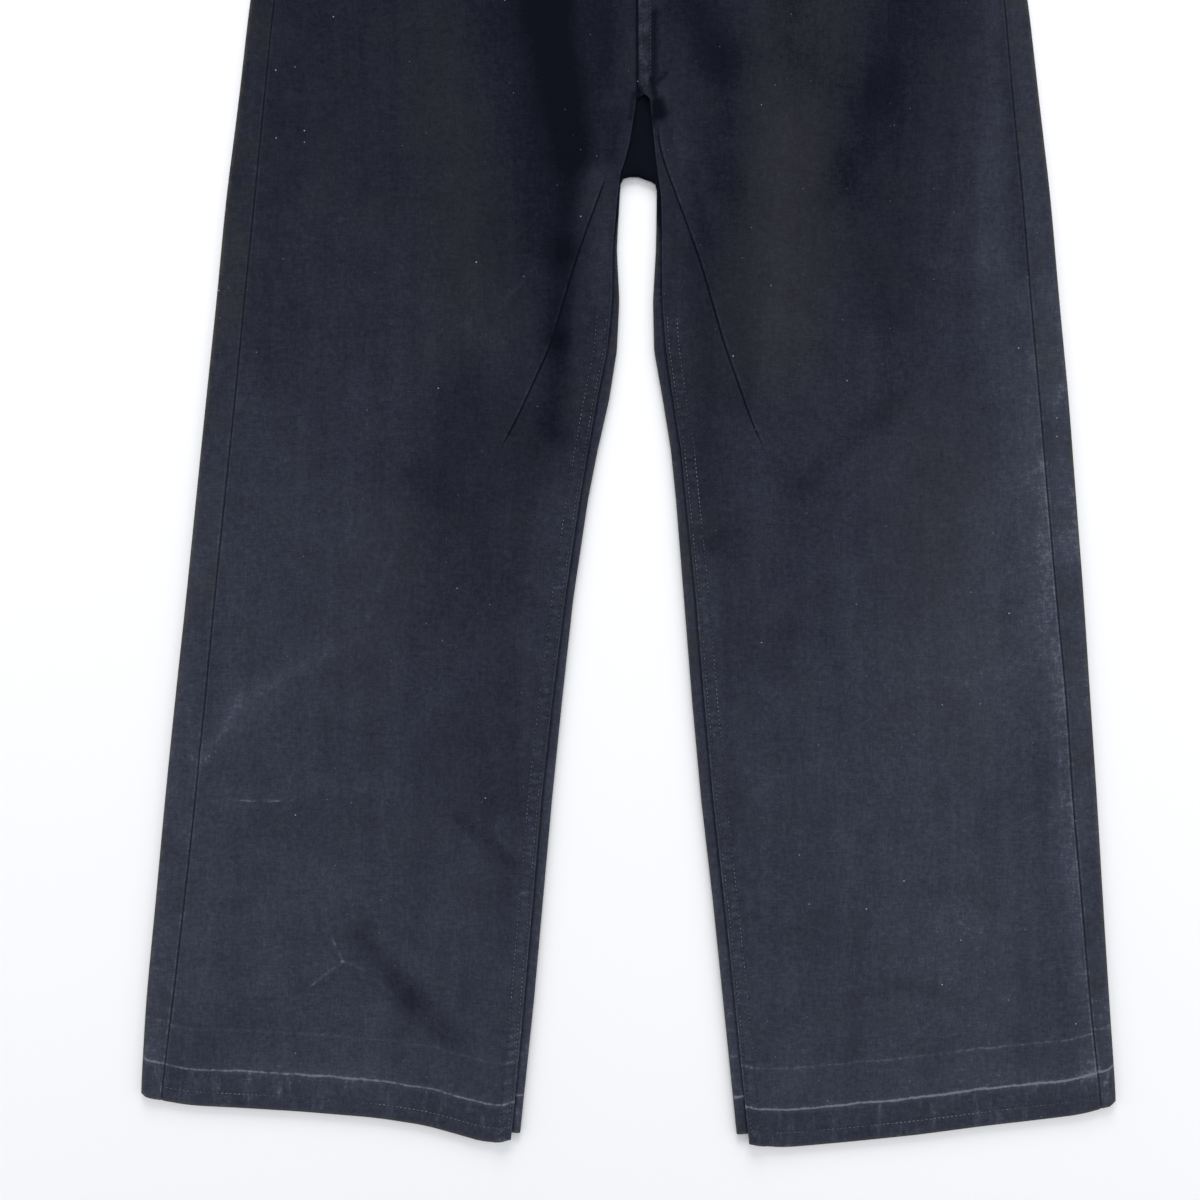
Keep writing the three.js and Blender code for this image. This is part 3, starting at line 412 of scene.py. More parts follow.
# The photograph's frame: its middle, how much it takes in, and a lens for a view from about 0.9 m
VIEW = {"x": -20.0, "y": -111.3, "wide": 840.0, "lens": 38.0, "sensor": 36.0}

INWARD = {"left": 1.0, "right": -1.0}


def lerp(a, b, t):
    """From a to b as t goes from 0 to 1."""
    return a + (b - a) * t


def step(start, end, at):
    """0 before start, 1 after end, and 3t^2 - 2t^3 between."""
    t = np.clip((at - start) / (end - start), 0, 1)
    return t * t * (3 - 2 * t)


def bell(away, width):
    """1 at the middle, falling off as exp of minus the square of away over width."""
    return np.exp(-((away / width) ** 2))


def read(rows, column, at, key="y", soften=0.0):
    """A table's column at each place, straight between its rows; soften rounds its corners with the mean of
    five places up to that far to either side."""
    order = np.argsort(rows[key])
    places, values = rows[key][order], rows[column][order]
    taps = np.linspace(-soften, soften, 5) if soften else np.zeros(1)
    return sum(np.interp(at + tap, places, values) for tap in taps) / len(taps)


def uneven(x, y, wavelength, seed):
    """Smooth unevenness from -1 to 1: the mean of seven sine waves of about that wavelength, each in a
    direction and phase drawn from the seed."""
    draw = np.random.default_rng(seed)
    total = 0.0
    for _ in range(7):
        turn, phase = draw.uniform(0, 2 * math.pi, 2)
        wave = 2 * math.pi / (wavelength * draw.uniform(0.6, 1.5))
        total = total + np.sin(wave * (x * math.cos(turn) + y * math.sin(turn)) + phase)
    return total / 3.5


def near_runs(runs, x, y):
    """Sum over a table of straight runs: each one's height times a bell of the distance from it."""
    total = np.zeros(np.broadcast(x, y).shape)
    for x1, y1, x2, y2, width, height in zip(*runs.values()):
        dx, dy = x2 - x1, y2 - y1
        t = np.clip(((x - x1) * dx + (y - y1) * dy) / (dx * dx + dy * dy), 0, 1)
        total = total + height * bell(np.hypot(x - x1 - t * dx, y - y1 - t * dy), width)
    return total


def sunk(kind, away):
    """How far the cloth sinks at this distance from an edge or a row of that kind."""
    depth, width = SUNK[kind]
    return depth * bell(away, width)


def ruffled(kind, x, y):
    """The unevenness of that kind at each place."""
    height, wavelength, seed = RUFFLED[kind]
    return height * uneven(x, y, wavelength, seed)


# Shapes of the cloth


def outer_line(side, column, outer_y):
    """The x of a leg's outer edge or side seam at these heights."""
    return read(OUTER[side], column, outer_y, soften=20)


def inner_seam(side, inner_y):
    """The x of a front's lapping edge at these heights."""
    return read(INNER[side], "seam", inner_y, soften=1.2)


def dart_line(side, outer_y):
    """The x of a dart at these rows."""
    return read(DART[side], "x", outer_y, soften=9)


def row_ends(side, outer_y):
    """Where rows start and end: the outer edge's x, and the inner edge's x and y. Below SLANT_Y the inner
    end runs ahead in proportion, to reach the hem's inner corner."""
    hem = HEM[side]
    stretch = (SLANT_Y - hem["inner_y"]) / (SLANT_Y - hem["outer_y"])
    inner_y = np.where(outer_y < SLANT_Y, SLANT_Y - (SLANT_Y - outer_y) * stretch, outer_y)
    inner_x = read(INNER[side], "edge", inner_y, soften=2)
    return outer_line(side, "edge", outer_y), inner_x, inner_y


def hem_drop(side, outer_y, across):
    """How far the hem's wave lowers a place: whole near the hem, dying out up the leg."""
    above = outer_y - HEM[side]["outer_y"]
    drop = read(WAVE[side], "drop", across, "across", soften=0.03)
    return (1 - step(WAVE_HOLDS, WAVE_REACH, above)) * drop


def thickness(above):
    """The cloth's thickness at a height above the hem, which is doubled."""
    return lerp(HEM_CLOTH, CLOTH, step(HEM_DEPTH, HEM_DEPTH + HEM_THINS, above))


def passing(stretch, y):
    """From 0 to 1 over one of the stretches in PASSES."""
    return step(*PASSES[stretch], y)


def waist_dip(x, outer_y):
    """The front waist's dip: a parabola across, growing up from below the pocket mouths."""
    return WAIST_DIP * passing("dip", outer_y) * (1 - ((x - CENTRE_X) / WAIST_HALF_BAND) ** 2)


def pocket_raise(outer_y, across, layer):
    """How much the back is raised over the pocket under it: soft steps up and down along and across."""
    p = POCKET_ACROSS
    margin = p["slope"] if layer == "front" else 0.0
    (low_far, low_near), (high_near, high_far) = POCKET_RISE[layer]
    rise = step(p["from"] - p["slope"] - margin, p["from"] - margin, across)
    fall = step(p["to"] + margin, p["to"] + p["slope"] + margin, across)
    low = step(p["low"] - low_far, p["low"] - low_near, outer_y)
    high = step(p["high"] + high_near, p["high"] + high_far, outer_y)
    return UNDER_RAISE * rise * (1 - fall) * low * (1 - high)


def inner_edge_face(y):
    """Height of a front's inner edge: over the back's strip, then the crotch, the fly and the waist."""
    low = lerp(LAP_FACE, CENTRE_FACE, passing("over_crotch", y))
    return lerp(lerp(low, FLY_FACE, passing("over_fly", y)), WAIST_FACE, passing("over_band", y))


def pucker_phase(along):
    """Phase of the puckers along a seam: a steady turn with a slow unevenness."""
    return along * 2 * math.pi / PUCKERS["pitch"] + ruffled("pucker_phase", along, 0 * along)


def rope_phase(x, above):
    """Phase of the slanting ridges that roping gives a hem."""
    return (x + ROPING["slant"] * above) * 2 * math.pi / ROPING["pitch"] + ruffled("rope_phase", x, above)


def dart_away(side, x, outer_y):
    """How far a place lies past its dart on the inner side, and from 0 to 1 how open the dart is there."""
    closes, closed = DART_CLOSES
    is_open = step(*DART_OPENS, outer_y) * step(DART_TOP[side] + closes, DART_TOP[side] + closed, outer_y)
    return (x - dart_line(side, outer_y)) * INWARD[side], is_open


def front_seams(side, outer_y):
    """The x of a front's side seam, or its pocket mouth, and of its lapping edge. The mouth is a quarter of
    an ellipse: MOUTH_REACH times the root of 1 - down^2."""
    _, _, inner_y = row_ends(side, outer_y)
    inward = INWARD[side]
    low = BAND_Y - MOUTH_DEPTH
    down = np.clip((BAND_Y - outer_y) / MOUTH_DEPTH, 0, 1)
    seam = outer_line(side, "seam", outer_y) + inward * SEAM_GAP / 2
    mouth = outer_line(side, "seam", low) + inward * MOUTH_REACH * np.sqrt(1 - down**2)
    return np.where(outer_y > low, mouth, seam), inner_seam(side, inner_y)


def front_height(side, x, y, outer_y, across):
    """Height of a front's face: its edges held up by their seams, the rest settled on the back with its
    folds, the felled edge raised and puckered between its rows of stitches, a crevice along the dart."""
    outer, inner = front_seams(side, outer_y)
    from_seam = np.abs(x - outer_line(side, "seam", outer_y))
    from_outer, from_inner = np.abs(x - outer), np.abs(x - inner)
    above = outer_y - HEM[side]["outer_y"]
    upper = passing("one_lap", y)
    right = float(side == "right")
    laps = lerp(1 - upper, 1, right)
    lap_width = lerp(LAP_HOLDS["rise"], LAP_HOLDS["fly"], passing("fly_lap", y))
    lap_width = lerp(LAP_HOLDS["inseam"], lap_width, upper)
    edge_face = inner_edge_face(y) + right * upper * (CLOTH + SEAM_GAP)
    z = REST_FACE + near_runs(FOLDS, x, y) + near_runs(CREASES, x, y)
    z = z + ruffled("front", x, y) + ruffled("front_close", x, y)
    z = z + (OUT_FOLD - REST_FACE) * bell(from_seam, HELD["seam"])
    past_lap = np.maximum(0, from_inner - lap_width - HELD["lap_flat"])
    z = lerp(z, np.maximum(z, edge_face - laps * HELD["lap_drop"]), bell(past_lap, HELD["lap"]))
    z = lerp(edge_face, z, step(lap_width, lap_width + HELD["lap_slope"], from_inner))
    on_facing = (1 - step(*HELD["facing"], from_seam)) * passing("facing", y)
    z = lerp(z, np.maximum(z, OUT_FOLD + HELD["facing_lift"]), on_facing)
    z = lerp(z, np.maximum(z, WAIST_FACE - HELD["waist_drop"]), passing("over_band", y))
    hem_lap = 1 - step(FELL, FELL + HELD["hem_slope"], from_inner)
    hem_face = lerp(HEM_FACE, LAP_FACE + HEM_CLOTH - CLOTH, hem_lap)
    z = lerp(z, np.maximum(z, hem_face), 1 - step(HEM_DEPTH, HEM_DEPTH + HELD["hem"], above))
    z = np.maximum(z, LOWEST_FACE + pocket_raise(outer_y, across, "front"))
    # Stitching draws the cloth down along its rows and puckers it between them
    sewn = passing("inseam_sewn", y) * laps
    pucker = PUCKERS["height"] * np.sin(pucker_phase(outer_y)) + PUCKERS["lift"]
    z = z + sewn * bell(from_inner - PUCKERS["middle"], PUCKERS["width"]) * pucker
    for row in TWIN_ROWS:
        z = z - sewn * sunk("inseam_row", from_inner - row)
    z = z - sunk("hem_row", above - HEM_STITCH)
    roped = step(*ROPING["starts"], above) * step(*ROPING["ends"], above)
    z = z + ROPING["height"] * roped * np.sin(rope_phase(x, above))
    # Beside the dart the cloth is doubled under its outer side
    past_dart, is_open = dart_away(side, x, outer_y)
    for height, at, width in DART_FORM:
        z = z + is_open * height * bell(past_dart - at, width)
    z = z - sunk("seam_edge", from_outer) - sunk("lap_edge", from_inner) - sunk("hem_edge", above)
    return z + bell(from_outer - 4, 3) * ruffled("front_edge", x, outer_y)


def front_points(side, x, outer_y):
    """A front's face: rows run from the outer edge to the inner one, lowered by the hem's wave and the
    waist's dip."""
    outer_x, inner_x, inner_y = row_ends(side, outer_y)
    across = (x - outer_x) / (inner_x - outer_x)
    y = lerp(outer_y, inner_y, across) - hem_drop(side, outer_y, across) - waist_dip(x, outer_y)
    return np.stack([x, y, front_height(side, x, y, outer_y, across)], -1)


def front_grid(side):
    """Rows and columns of a front: columns crowd beside the seam, the dart and the lapping edge, and keep
    their order where the dart comes near that edge. Up the pocket mouth the rows go as 1 - cos."""
    top = BAND_Y - SEAM_GAP
    low = HEM[side]["outer_y"]
    mouth = BAND_Y - MOUTH_DEPTH
    spans = ((low + PAST_HEM, 92, 2.0), (92, 236, 3.6), (236, 250, 1.4), (252, mouth - 2, 5.2))
    up_mouth = mouth + MOUTH_DEPTH * (1 - np.cos(np.linspace(0, math.pi / 2, 34)))
    rows = np.concatenate([low + BY_HEM, *(np.arange(*span) for span in spans), up_mouth, [top]])
    rows = np.unique(rows)
    outer_y = rows[rows <= top][:, None]
    outer, inner = front_seams(side, outer_y)
    inward = INWARD[side]
    dart = dart_line(side, outer_y)
    room = np.abs(inner - dart) - BY_DART[-1]
    by_edge = BY_EDGE * np.minimum(1, room / (BY_EDGE[0] + 4))
    wide = np.linspace(0, 1, 56)[None, 1:-1]
    narrow = np.linspace(0, 1, 9)[None, 1:-1]
    columns = [
        outer + inward * BY_SEAM,
        lerp(outer + inward * BY_SEAM[-1], dart + inward * BY_DART[0], wide),
        dart + inward * BY_DART,
        lerp(dart + inward * BY_DART[-1], inner - inward * by_edge[:, :1], narrow),
        inner - inward * by_edge,
    ]
    x = np.concatenate(columns, axis=1)
    return x, np.broadcast_to(outer_y, x.shape)


def half_turn(edge, inward, fold, inset):
    """Points round a folded edge from its top to the underside: a half circle about the fold's middle, which
    lies half the fold's height in from the edge. Its radius is that half less the inset. edge, inward and
    inset have a row for each section."""
    turn = np.linspace(math.pi / 2, 3 * math.pi / 2, ARC_STEPS + 1)
    radius = fold / 2 - inset[:, None]
    out = fold / 2 + radius * np.cos(turn)
    place = edge[:, None, :] + inward[:, None, :] * out[..., None]
    z = fold / 2 + radius * np.sin(turn)
    return np.concatenate([place, z[..., None]], axis=-1)


def sections(outer_y, inner_x, inner_y, lip=(0.0, 0.0), thick=CLOTH, leg=0.0):
    """Some of the back's sections as columns of the same length; a lip at 0, 0 means none."""
    columns = {"outer_y": outer_y, "inner_x": inner_x, "inner_y": inner_y, "thick": thick, "leg": leg}
    columns["lip_x"], columns["lip_y"] = lip
    return {key: np.broadcast_to(value, outer_y.shape) for key, value in columns.items()}


def leg_sections(side):
    """Sections of a leg below the crotch, crowded by the hem. The front laps over their lips."""
    low = HEM[side]["outer_y"] + BACK_HEM_RISE
    outer_y = np.concatenate([low + BY_BACK_HEM, np.arange(low + PAST_HEM, 150, 3.6)])
    outer_x, inner_x, inner_y = row_ends(side, outer_y)
    lip_x = inner_seam(side, inner_y) - INWARD[side] * LIP_PAST_SEAM
    lip_y = lerp(outer_y, inner_y, (lip_x - outer_x) / (inner_x - outer_x))
    return sections(outer_y, inner_x, inner_y, (lip_x, lip_y), thickness(outer_y - low), leg=1.0)


def crotch_sections(side):
    """Sections round the crotch, spread evenly over the rows of its table."""
    turn = CROTCH[side]
    rows = np.arange(len(turn["x"]))
    at = np.linspace(0, rows[-1], 34)
    place = {key: np.interp(at, rows, values) for key, values in turn.items()}
    return sections(place["outer_y"], place["x"], place["y"], (place["lip_x"], place["lip_y"]))


def seat_sections(side):
    """Sections from the crotch to the yoke's seam, which end at the centre seam and slant down to it."""
    spans = ((196, 212, 3), (214, 372, 6), (373, YOKE_SIDE_Y, 4))
    outer_y = np.concatenate([*(np.arange(*span) for span in spans), [YOKE_SIDE_Y]])
    inner_y = outer_y - YOKE_DROP * step(SLANT_Y, YOKE_SIDE_Y, outer_y)
    return sections(outer_y, CENTRE_X - INWARD[side] * SEAM_SHUT, inner_y)


def yoke_sections(side):
    """Sections of a yoke, from its seam to the waistband."""
    up = np.linspace(0, 1, 14)
    outer_y = lerp(YOKE_SIDE_Y + SEAM_GAP, BAND_Y - SEAM_GAP, up)
    inner_y = lerp(YOKE_SIDE_Y - YOKE_DROP + SEAM_GAP, BAND_Y - SEAM_GAP, up)
    return sections(outer_y, CENTRE_X - INWARD[side] * SEAM_SHUT, inner_y)


def back_rows(side, part):
    """All sections of a back leg or yoke, from its hem or seam up, with its folded edge and side seam."""
    makers = (yoke_sections,) if part == "yoke" else (leg_sections, crotch_sections, seat_sections)
    groups = [make(side) for make in makers]
    rows = {key: np.concatenate([group[key] for group in groups]) for key in groups[0]}
    rows["has_lip"] = rows["lip_y"] != 0
    rows["outer_x"] = outer_line(side, "edge", rows["outer_y"])
    seam_x = outer_line(side, "seam", rows["outer_y"])
    share = (seam_x - rows["outer_x"]) / (rows["inner_x"] - rows["outer_x"])
    seam_y = lerp(rows["outer_y"], rows["inner_y"], share)
    rows["seam_x"] = np.where(rows["outer_y"] < SLANT_Y, seam_x, outer_line(side, "seam", seam_y))
    return rows


def back_section(side, part):
    """Face and inside of a back leg or yoke, and which of its cells are cloth. Each section runs from the lip
    that the front laps over, round the inner fold, flat along the floor, and round the outer fold to the
    side seam on the front."""
    rows = back_rows(side, part)
    thick, row_y = rows["thick"], rows["outer_y"][:, None]
    outer = np.stack([rows["outer_x"], rows["outer_y"]], -1)
    inner = np.stack([rows["inner_x"], rows["inner_y"]], -1)
    lip = np.stack([rows["lip_x"], rows["lip_y"]], -1)
    along = (inner - outer) / np.linalg.norm(inner - outer, axis=1)[:, None]
    to_lip = lip - inner
    to_lip = to_lip / np.maximum(np.linalg.norm(to_lip, axis=1), 1e-6)[:, None]
    has_lip, on_leg = rows["has_lip"][:, None], rows["leg"][:, None]

    def lip_part(depth):
        """The lip from its end to just short of the fold, sinking from the strip's height to the crotch's."""
        t = np.linspace(0, 1, LIP_STEPS + 1)[None, :-1]
        top = inner + to_lip * IN_FOLD / 2
        place = lerp(lip[:, None, :], top[:, None, :], t[..., None])
        z = lerp(IN_FOLD, CROTCH_LIP, passing("crotch_lip", place[..., 1]))
        z = z + ruffled("lip", place[..., 0], place[..., 1]) * on_leg
        return np.concatenate([place, (z - depth * thick[:, None])[..., None]], -1)

    def floor_part(depth):
        """The flat run between the folds, raised over the back pocket."""
        t = np.linspace(0, 1, FLOOR_STEPS + 1)[None, 1:-1]
        start = np.where(has_lip, inner + to_lip * IN_FOLD / 2, inner)
        end = outer + along * OUT_FOLD / 2
        place = lerp(start[:, None, :], end[:, None, :], t[..., None])
        raised = pocket_raise(row_y, 1 - t, "back") if part == "leg" else 0 * t
        return np.concatenate([place, (raised + depth * thick[:, None])[..., None]], -1)

    def strip_part(depth):
        """The strip that lies on the front, out from the fold to the side seam."""
        start = (outer + along * OUT_FOLD / 2)[:, :1]
        end = (rows["seam_x"] - INWARD[side] * SEAM_GAP / 2)[:, None]
        x = lerp(start, end, STRIP_AT[None, :])
        y = row_y + (x - outer[:, :1]) / along[:, :1] * along[:, 1:]
        from_fold = np.abs(x - start)
        z = OUT_FOLD - sunk("seam_edge", np.abs(x - end)) + ruffled("strip", x, y) * step(0, 4, from_fold)
        z = z + ruffled("strip_close", x, y) * step(0, 3, from_fold)
        return np.stack([x, y, z - depth * thick[:, None]], -1)

    def section(depth):
        """The face at depth 0, the inside at depth 1."""
        inner_turn = half_turn(inner, to_lip, IN_FOLD, depth * thick)
        outer_turn = half_turn(outer, along, OUT_FOLD, depth * thick)[:, ::-1]
        parts = [lip_part(depth), inner_turn, floor_part(depth), outer_turn, strip_part(depth)]
        whole = np.concatenate(parts, 1)
        flat = np.concatenate([inner, depth * thick[:, None]], 1)[:, None, :]
        before_floor = LIP_STEPS + ARC_STEPS + 1
        whole[:, :before_floor] = np.where(has_lip[:, None], whole[:, :before_floor], flat)
        across = np.clip((whole[..., 0] - outer[:, :1]) / (inner - outer)[:, :1], 0, 1)
        drop = hem_drop(side, row_y, across)
        above = row_y - HEM[side]["outer_y"] - BACK_HEM_RISE
        by_corner = step(*BACK_CORNER["starts"], across) * step(*BACK_CORNER["ends"], across)
        lowered = (BACK_HEM_RISE - BACK_CORNER["stays"]) * step(*BACK_CORNER["dies"], above)
        lowered = by_corner * (lowered + np.maximum(0, drop)) + BACK_WAVE * np.minimum(0, drop)
        on_front = (whole[..., 2] > OUT_FOLD * 0.7) * (1 - on_leg)
        whole[..., 1] -= on_leg * lowered + on_front * waist_dip(whole[..., 0], row_y)
        return whole

    face, inside = section(0.0), section(1.0)
    i = np.arange(face.shape[0] - 1)[:, None]
    j = np.arange(face.shape[1] - 1)[None, :]
    holds = (j >= LIP_STEPS + ARC_STEPS) | (i < np.count_nonzero(has_lip) - 1)
    return rows, face, inside, holds


# Meshes


def wall(name, face, inside, holds=None, **marks):
    """The closed wall between a face grid and an inside grid, in metres. Cells where holds is False are left
    out, and every edge of what stays is closed by a flat rim. marks are values kept for each grid place."""
    rows, columns = face.shape[:2]
    size = rows * columns
    cells = np.ones((rows - 1, columns - 1), bool) if holds is None else holds
    i, j = np.nonzero(cells)
    at = i * columns + j
    top = np.stack([at, at + 1, at + columns + 1, at + columns], 1)
    under = np.stack([at, at + columns, at + columns + 1, at + 1], 1) + size
    padded = np.pad(cells, 1)
    rims = []
    for di, dj, first, second in ((-1, 0, 0, 1), (0, 1, 1, 2), (1, 0, 2, 3), (0, -1, 3, 0)):
        open_side = ~padded[1 + i + di, 1 + j + dj]
        a, b = top[open_side, first], top[open_side, second]
        rims.append(np.stack([b, a, a + size, b + size], 1))
    rim = np.concatenate(rims)
    flat = np.arange(len(top) + len(under) + len(rim)) >= len(top) + len(under)
    points = np.concatenate([face.reshape(-1, 3), inside.reshape(-1, 3)]) * MM
    used, faces = np.unique(np.concatenate([top, under, rim]), return_inverse=True)
    on_both = {}
    for key, value in marks.items():
        on_both[key] = np.tile(np.broadcast_to(value, (rows, columns)).reshape(-1), 2)[used]
    return solid(name, points[used], faces.reshape(-1, 4), flat, on_both)


def linked(name, data):
    """A new object of the scene for a mesh, a lamp or a camera."""
    holder = bpy.data.objects.new(name, data)
    bpy.context.scene.collection.objects.link(holder)
    return holder


def solid(name, points, faces, flat, marks=None):
    """A mesh object of these points and four-sided faces, turned so that its volume is positive."""
    a, b, c, d = (points[faces[:, k]] for k in range(4))
    volume = ((np.cross(b - a, c - a) + np.cross(c - a, d - a)) * (a - points[0])).sum()
    if volume < 0:
        faces = faces[:, ::-1]
    mesh = bpy.data.meshes.new(name)
    mesh.vertices.add(len(points))
    mesh.vertices.foreach_set("co", points.astype(np.float32).ravel())
    mesh.loops.add(faces.size)
    mesh.loops.foreach_set("vertex_index", faces.astype(np.int32).ravel())
    mesh.polygons.add(len(faces))
    mesh.polygons.foreach_set("loop_start", np.arange(0, faces.size, 4, dtype=np.int32))
    mesh.update(calc_edges=True)
    mesh.polygons.foreach_set("use_smooth", ~flat)
    for key, values in (marks or {}).items():
        mesh.attributes.new(key, "FLOAT", "POINT").data.foreach_set("value", values.astype(np.float32))
    mesh.validate()
    return linked(name, mesh)


def smooth_piece(name, points, faces):
    """A smooth mesh object of points in millimetres and faces of any number of sides."""
    mesh = bpy.data.meshes.new(name)
    mesh.from_pydata((points.reshape(-1, 3) * MM).tolist(), [], faces)
    mesh.polygons.foreach_set("use_smooth", np.ones(len(mesh.polygons), bool))
    mesh.update()
    return linked(name, mesh)


def along_paths(*paths, pitch=STITCH["pitch"], gap=STITCH["gap"]):
    """Both ends of every stitch on open paths, a pitch apart and less a gap at the needle holes."""
    starts, ends = [], []
    for path in paths:
        length = np.concatenate([[0], np.cumsum(np.linalg.norm(np.diff(path, axis=0), axis=1))])
        at = np.arange(gap, length[-1] - pitch, pitch)
        starts.append(np.stack([np.interp(at, length, path[:, k]) for k in range(3)], 1))
        ends.append(np.stack([np.interp(at + pitch - gap, length, path[:, k]) for k in range(3)], 1))
    return np.concatenate(starts), np.concatenate(ends)


def satin(first, second):
    """Both ends of close stitches that zigzag between two lines of the same number of points."""
    return np.concatenate([first[:-1], second[:-1]]), np.concatenate([second[:-1], first[1:]])


def threads(name, *ends, radius=STITCH["radius"], under=False):
    """Stitches as spindles of five sides between their ends, thickest in the middle and bowed off the
    cloth: the ring at t stands at start + run * t + (side * cos + up * sin) * radius * share."""
    start = np.concatenate([pair[0] for pair in ends])
    run = np.concatenate([pair[1] for pair in ends]) - start
    off = np.array([0, 0, -1.0 if under else 1.0])
    side = np.cross(off, run)
    side = side / np.linalg.norm(side, axis=1, keepdims=True)
    up = np.cross(run / np.linalg.norm(run, axis=1, keepdims=True), side)
    rings = table("t share bow", (0, 0.3, -0.6), (0.28, 1, 0.8), (0.72, 1, 0.8), (1, 0.3, -0.6))
    t, share, bow = (rings[key][None, :, None, None] for key in ("t", "share", "bow"))
    turn = (np.arange(5) * 2 * math.pi / 5)[None, None, :, None]
    around = np.cos(turn) * side[:, None, None] + np.sin(turn) * up[:, None, None]
    middle = start[:, None, None] + run[:, None, None] * t + up[:, None, None] * bow * radius
    stitch = np.arange(len(start))[:, None] * 20
    first = stitch[:, :, None] + np.arange(3)[None, :, None] * 5
    s = np.arange(5)[None, None, :]
    later = (s + 1) % 5
    sides = np.stack([first + s, first + later, first + 5 + later, first + 5 + s], -1).reshape(-1, 4)
    caps = np.concatenate([stitch + np.arange(5)[::-1], stitch + np.arange(15, 20)])
    piece = smooth_piece(name, middle + around * share * radius, sides.tolist() + caps.tolist())
    return finish_piece(piece, THREAD, "black_cotton")


# Materials


class Tree:
    """Short hands for building one node tree."""

    def __init__(self, tree):
        self.tree = tree

    def fill(self, node, values):
        """Links the sockets and sets the values among a node's inputs."""
        for name, value in values.items():
            if isinstance(value, bpy.types.NodeSocket):
                self.tree.links.new(value, node.inputs[name])
            else:
                node.inputs[name].default_value = value
        return node

    def add(self, kind, values=None, **properties):
        node = self.tree.nodes.new("ShaderNode" + kind)
        for name, value in properties.items():
            setattr(node, name, value)
        return self.fill(node, values or {})

    def group(self, made, **values):
        return self.add("Group", values, node_tree=made).outputs

    def math(self, operation, a, b=0.0, c=0.0, clamp=False):
        return self.add("Math", {0: a, 1: b, 2: c}, operation=operation, use_clamp=clamp).outputs[0]

    def plus(self, a, b):
        return self.math("ADD", a, b)

    def times(self, a, b):
        return self.math("MULTIPLY", a, b)

    def times_plus(self, a, b, c):
        """a times b, plus c."""
        return self.math("MULTIPLY_ADD", a, b, c)

    def size(self, value):
        return self.math("ABSOLUTE", value)

    def vector(self, operation, *vectors, **values):
        return self.add("VectorMath", {**dict(enumerate(vectors)), **values}, operation=operation).outputs

    def axis(self, vector, k):
        return self.add("SeparateXYZ", {0: vector}).outputs[k]

    def blend(self, amount, a, b):
        return self.add("Mix", {0: amount, 6: a, 7: b}, data_type="RGBA", clamp_factor=True).outputs[2]

    def range(self, value, low, high, to_low=0.0, to_high=1.0):
        names = ("Value", "From Min", "From Max", "To Min", "To Max")
        values = dict(zip(names, (value, low, high, to_low, to_high)))
        return self.add("MapRange", values, interpolation_type="SMOOTHSTEP").outputs[0]

    def noise(self, vector, scale, detail=2.0, rough=0.5):
        values = {"Vector": vector, "Scale": scale, "Detail": detail, "Roughness": rough}
        return self.add("TexNoise", values).outputs[0]

    def scaled(self, vector, x, y, z, offset=(0.0, 0.0, 0.0), turn=0.0):
        values = {"Vector": vector, "Scale": (x, y, z), "Location": offset, "Rotation": (0, 0, turn)}
        return self.add("Mapping", values).outputs[0]

    def moved(self, vector, *offset):
        return self.scaled(vector, 1.0, 1.0, 1.0, offset=offset)

    def streaks(self, vector, size, detail=2.0, rough=0.5, offset=(0.0, 0.0, 0.0)):
        """Noise drawn out along the axes with a small size."""
        return self.noise(self.scaled(vector, *size, offset=offset), 1.0, detail, rough)

    def mark(self, name):
        return self.add("Attribute", attribute_name=name).outputs["Fac"]

    def bump(self, height, strength, distance, **more):
        values = {"Height": height, "Strength": strength, "Distance": distance, **more}
        return self.add("Bump", values).outputs[0]

    def wear_and_painted_light(self, fade_and_shade, mask, kind):
        """A fade with one kind of wear, painted shade or painted highlight added where its mask is 1."""
        return self.times_plus(mask, WEAR_AND_PAINTED_LIGHT[kind], fade_and_shade)


def new_group(name, inputs, outputs):
    """An empty shader group with named sockets, and hands for its inputs and for closing it."""
    made = bpy.data.node_groups.new(name, "ShaderNodeTree")
    for way, sockets in (("INPUT", inputs), ("OUTPUT", outputs)):
        for label, kind in sockets.items():
            made.interface.new_socket(label, in_out=way, socket_type=f"NodeSocket{kind}")
    tree = Tree(made)
    source = made.nodes.new("NodeGroupInput").outputs
    end = made.nodes.new("NodeGroupOutput")
    return made, tree, source, end


def near_line_group():
    """How near a place lies to a straight run in the plane of the cloth: a bell of the distance from it."""
    inputs = {"Place": "Vector", "From": "Vector", "To": "Vector", "Width": "Float"}
    made, tree, source, end = new_group("near_line", inputs, {"Near": "Float"})
    run = tree.vector("SUBTRACT", source["To"], source["From"])[0]
    away = tree.vector("SUBTRACT", source["Place"], source["From"])[0]
    dot = tree.vector("DOT_PRODUCT", away, run)["Value"]
    square = tree.vector("DOT_PRODUCT", run, run)["Value"]
    t = tree.math("DIVIDE", dot, square, clamp=True)
    off = tree.vector("SUBTRACT", away, tree.vector("SCALE", run, Scale=t)[0])[0]
    share = tree.math("DIVIDE", tree.vector("LENGTH", off)["Value"], source["Width"])
    near = tree.math("EXPONENT", tree.times(tree.times(share, share), -1.0))
    tree.fill(end, {"Near": near})
    return made


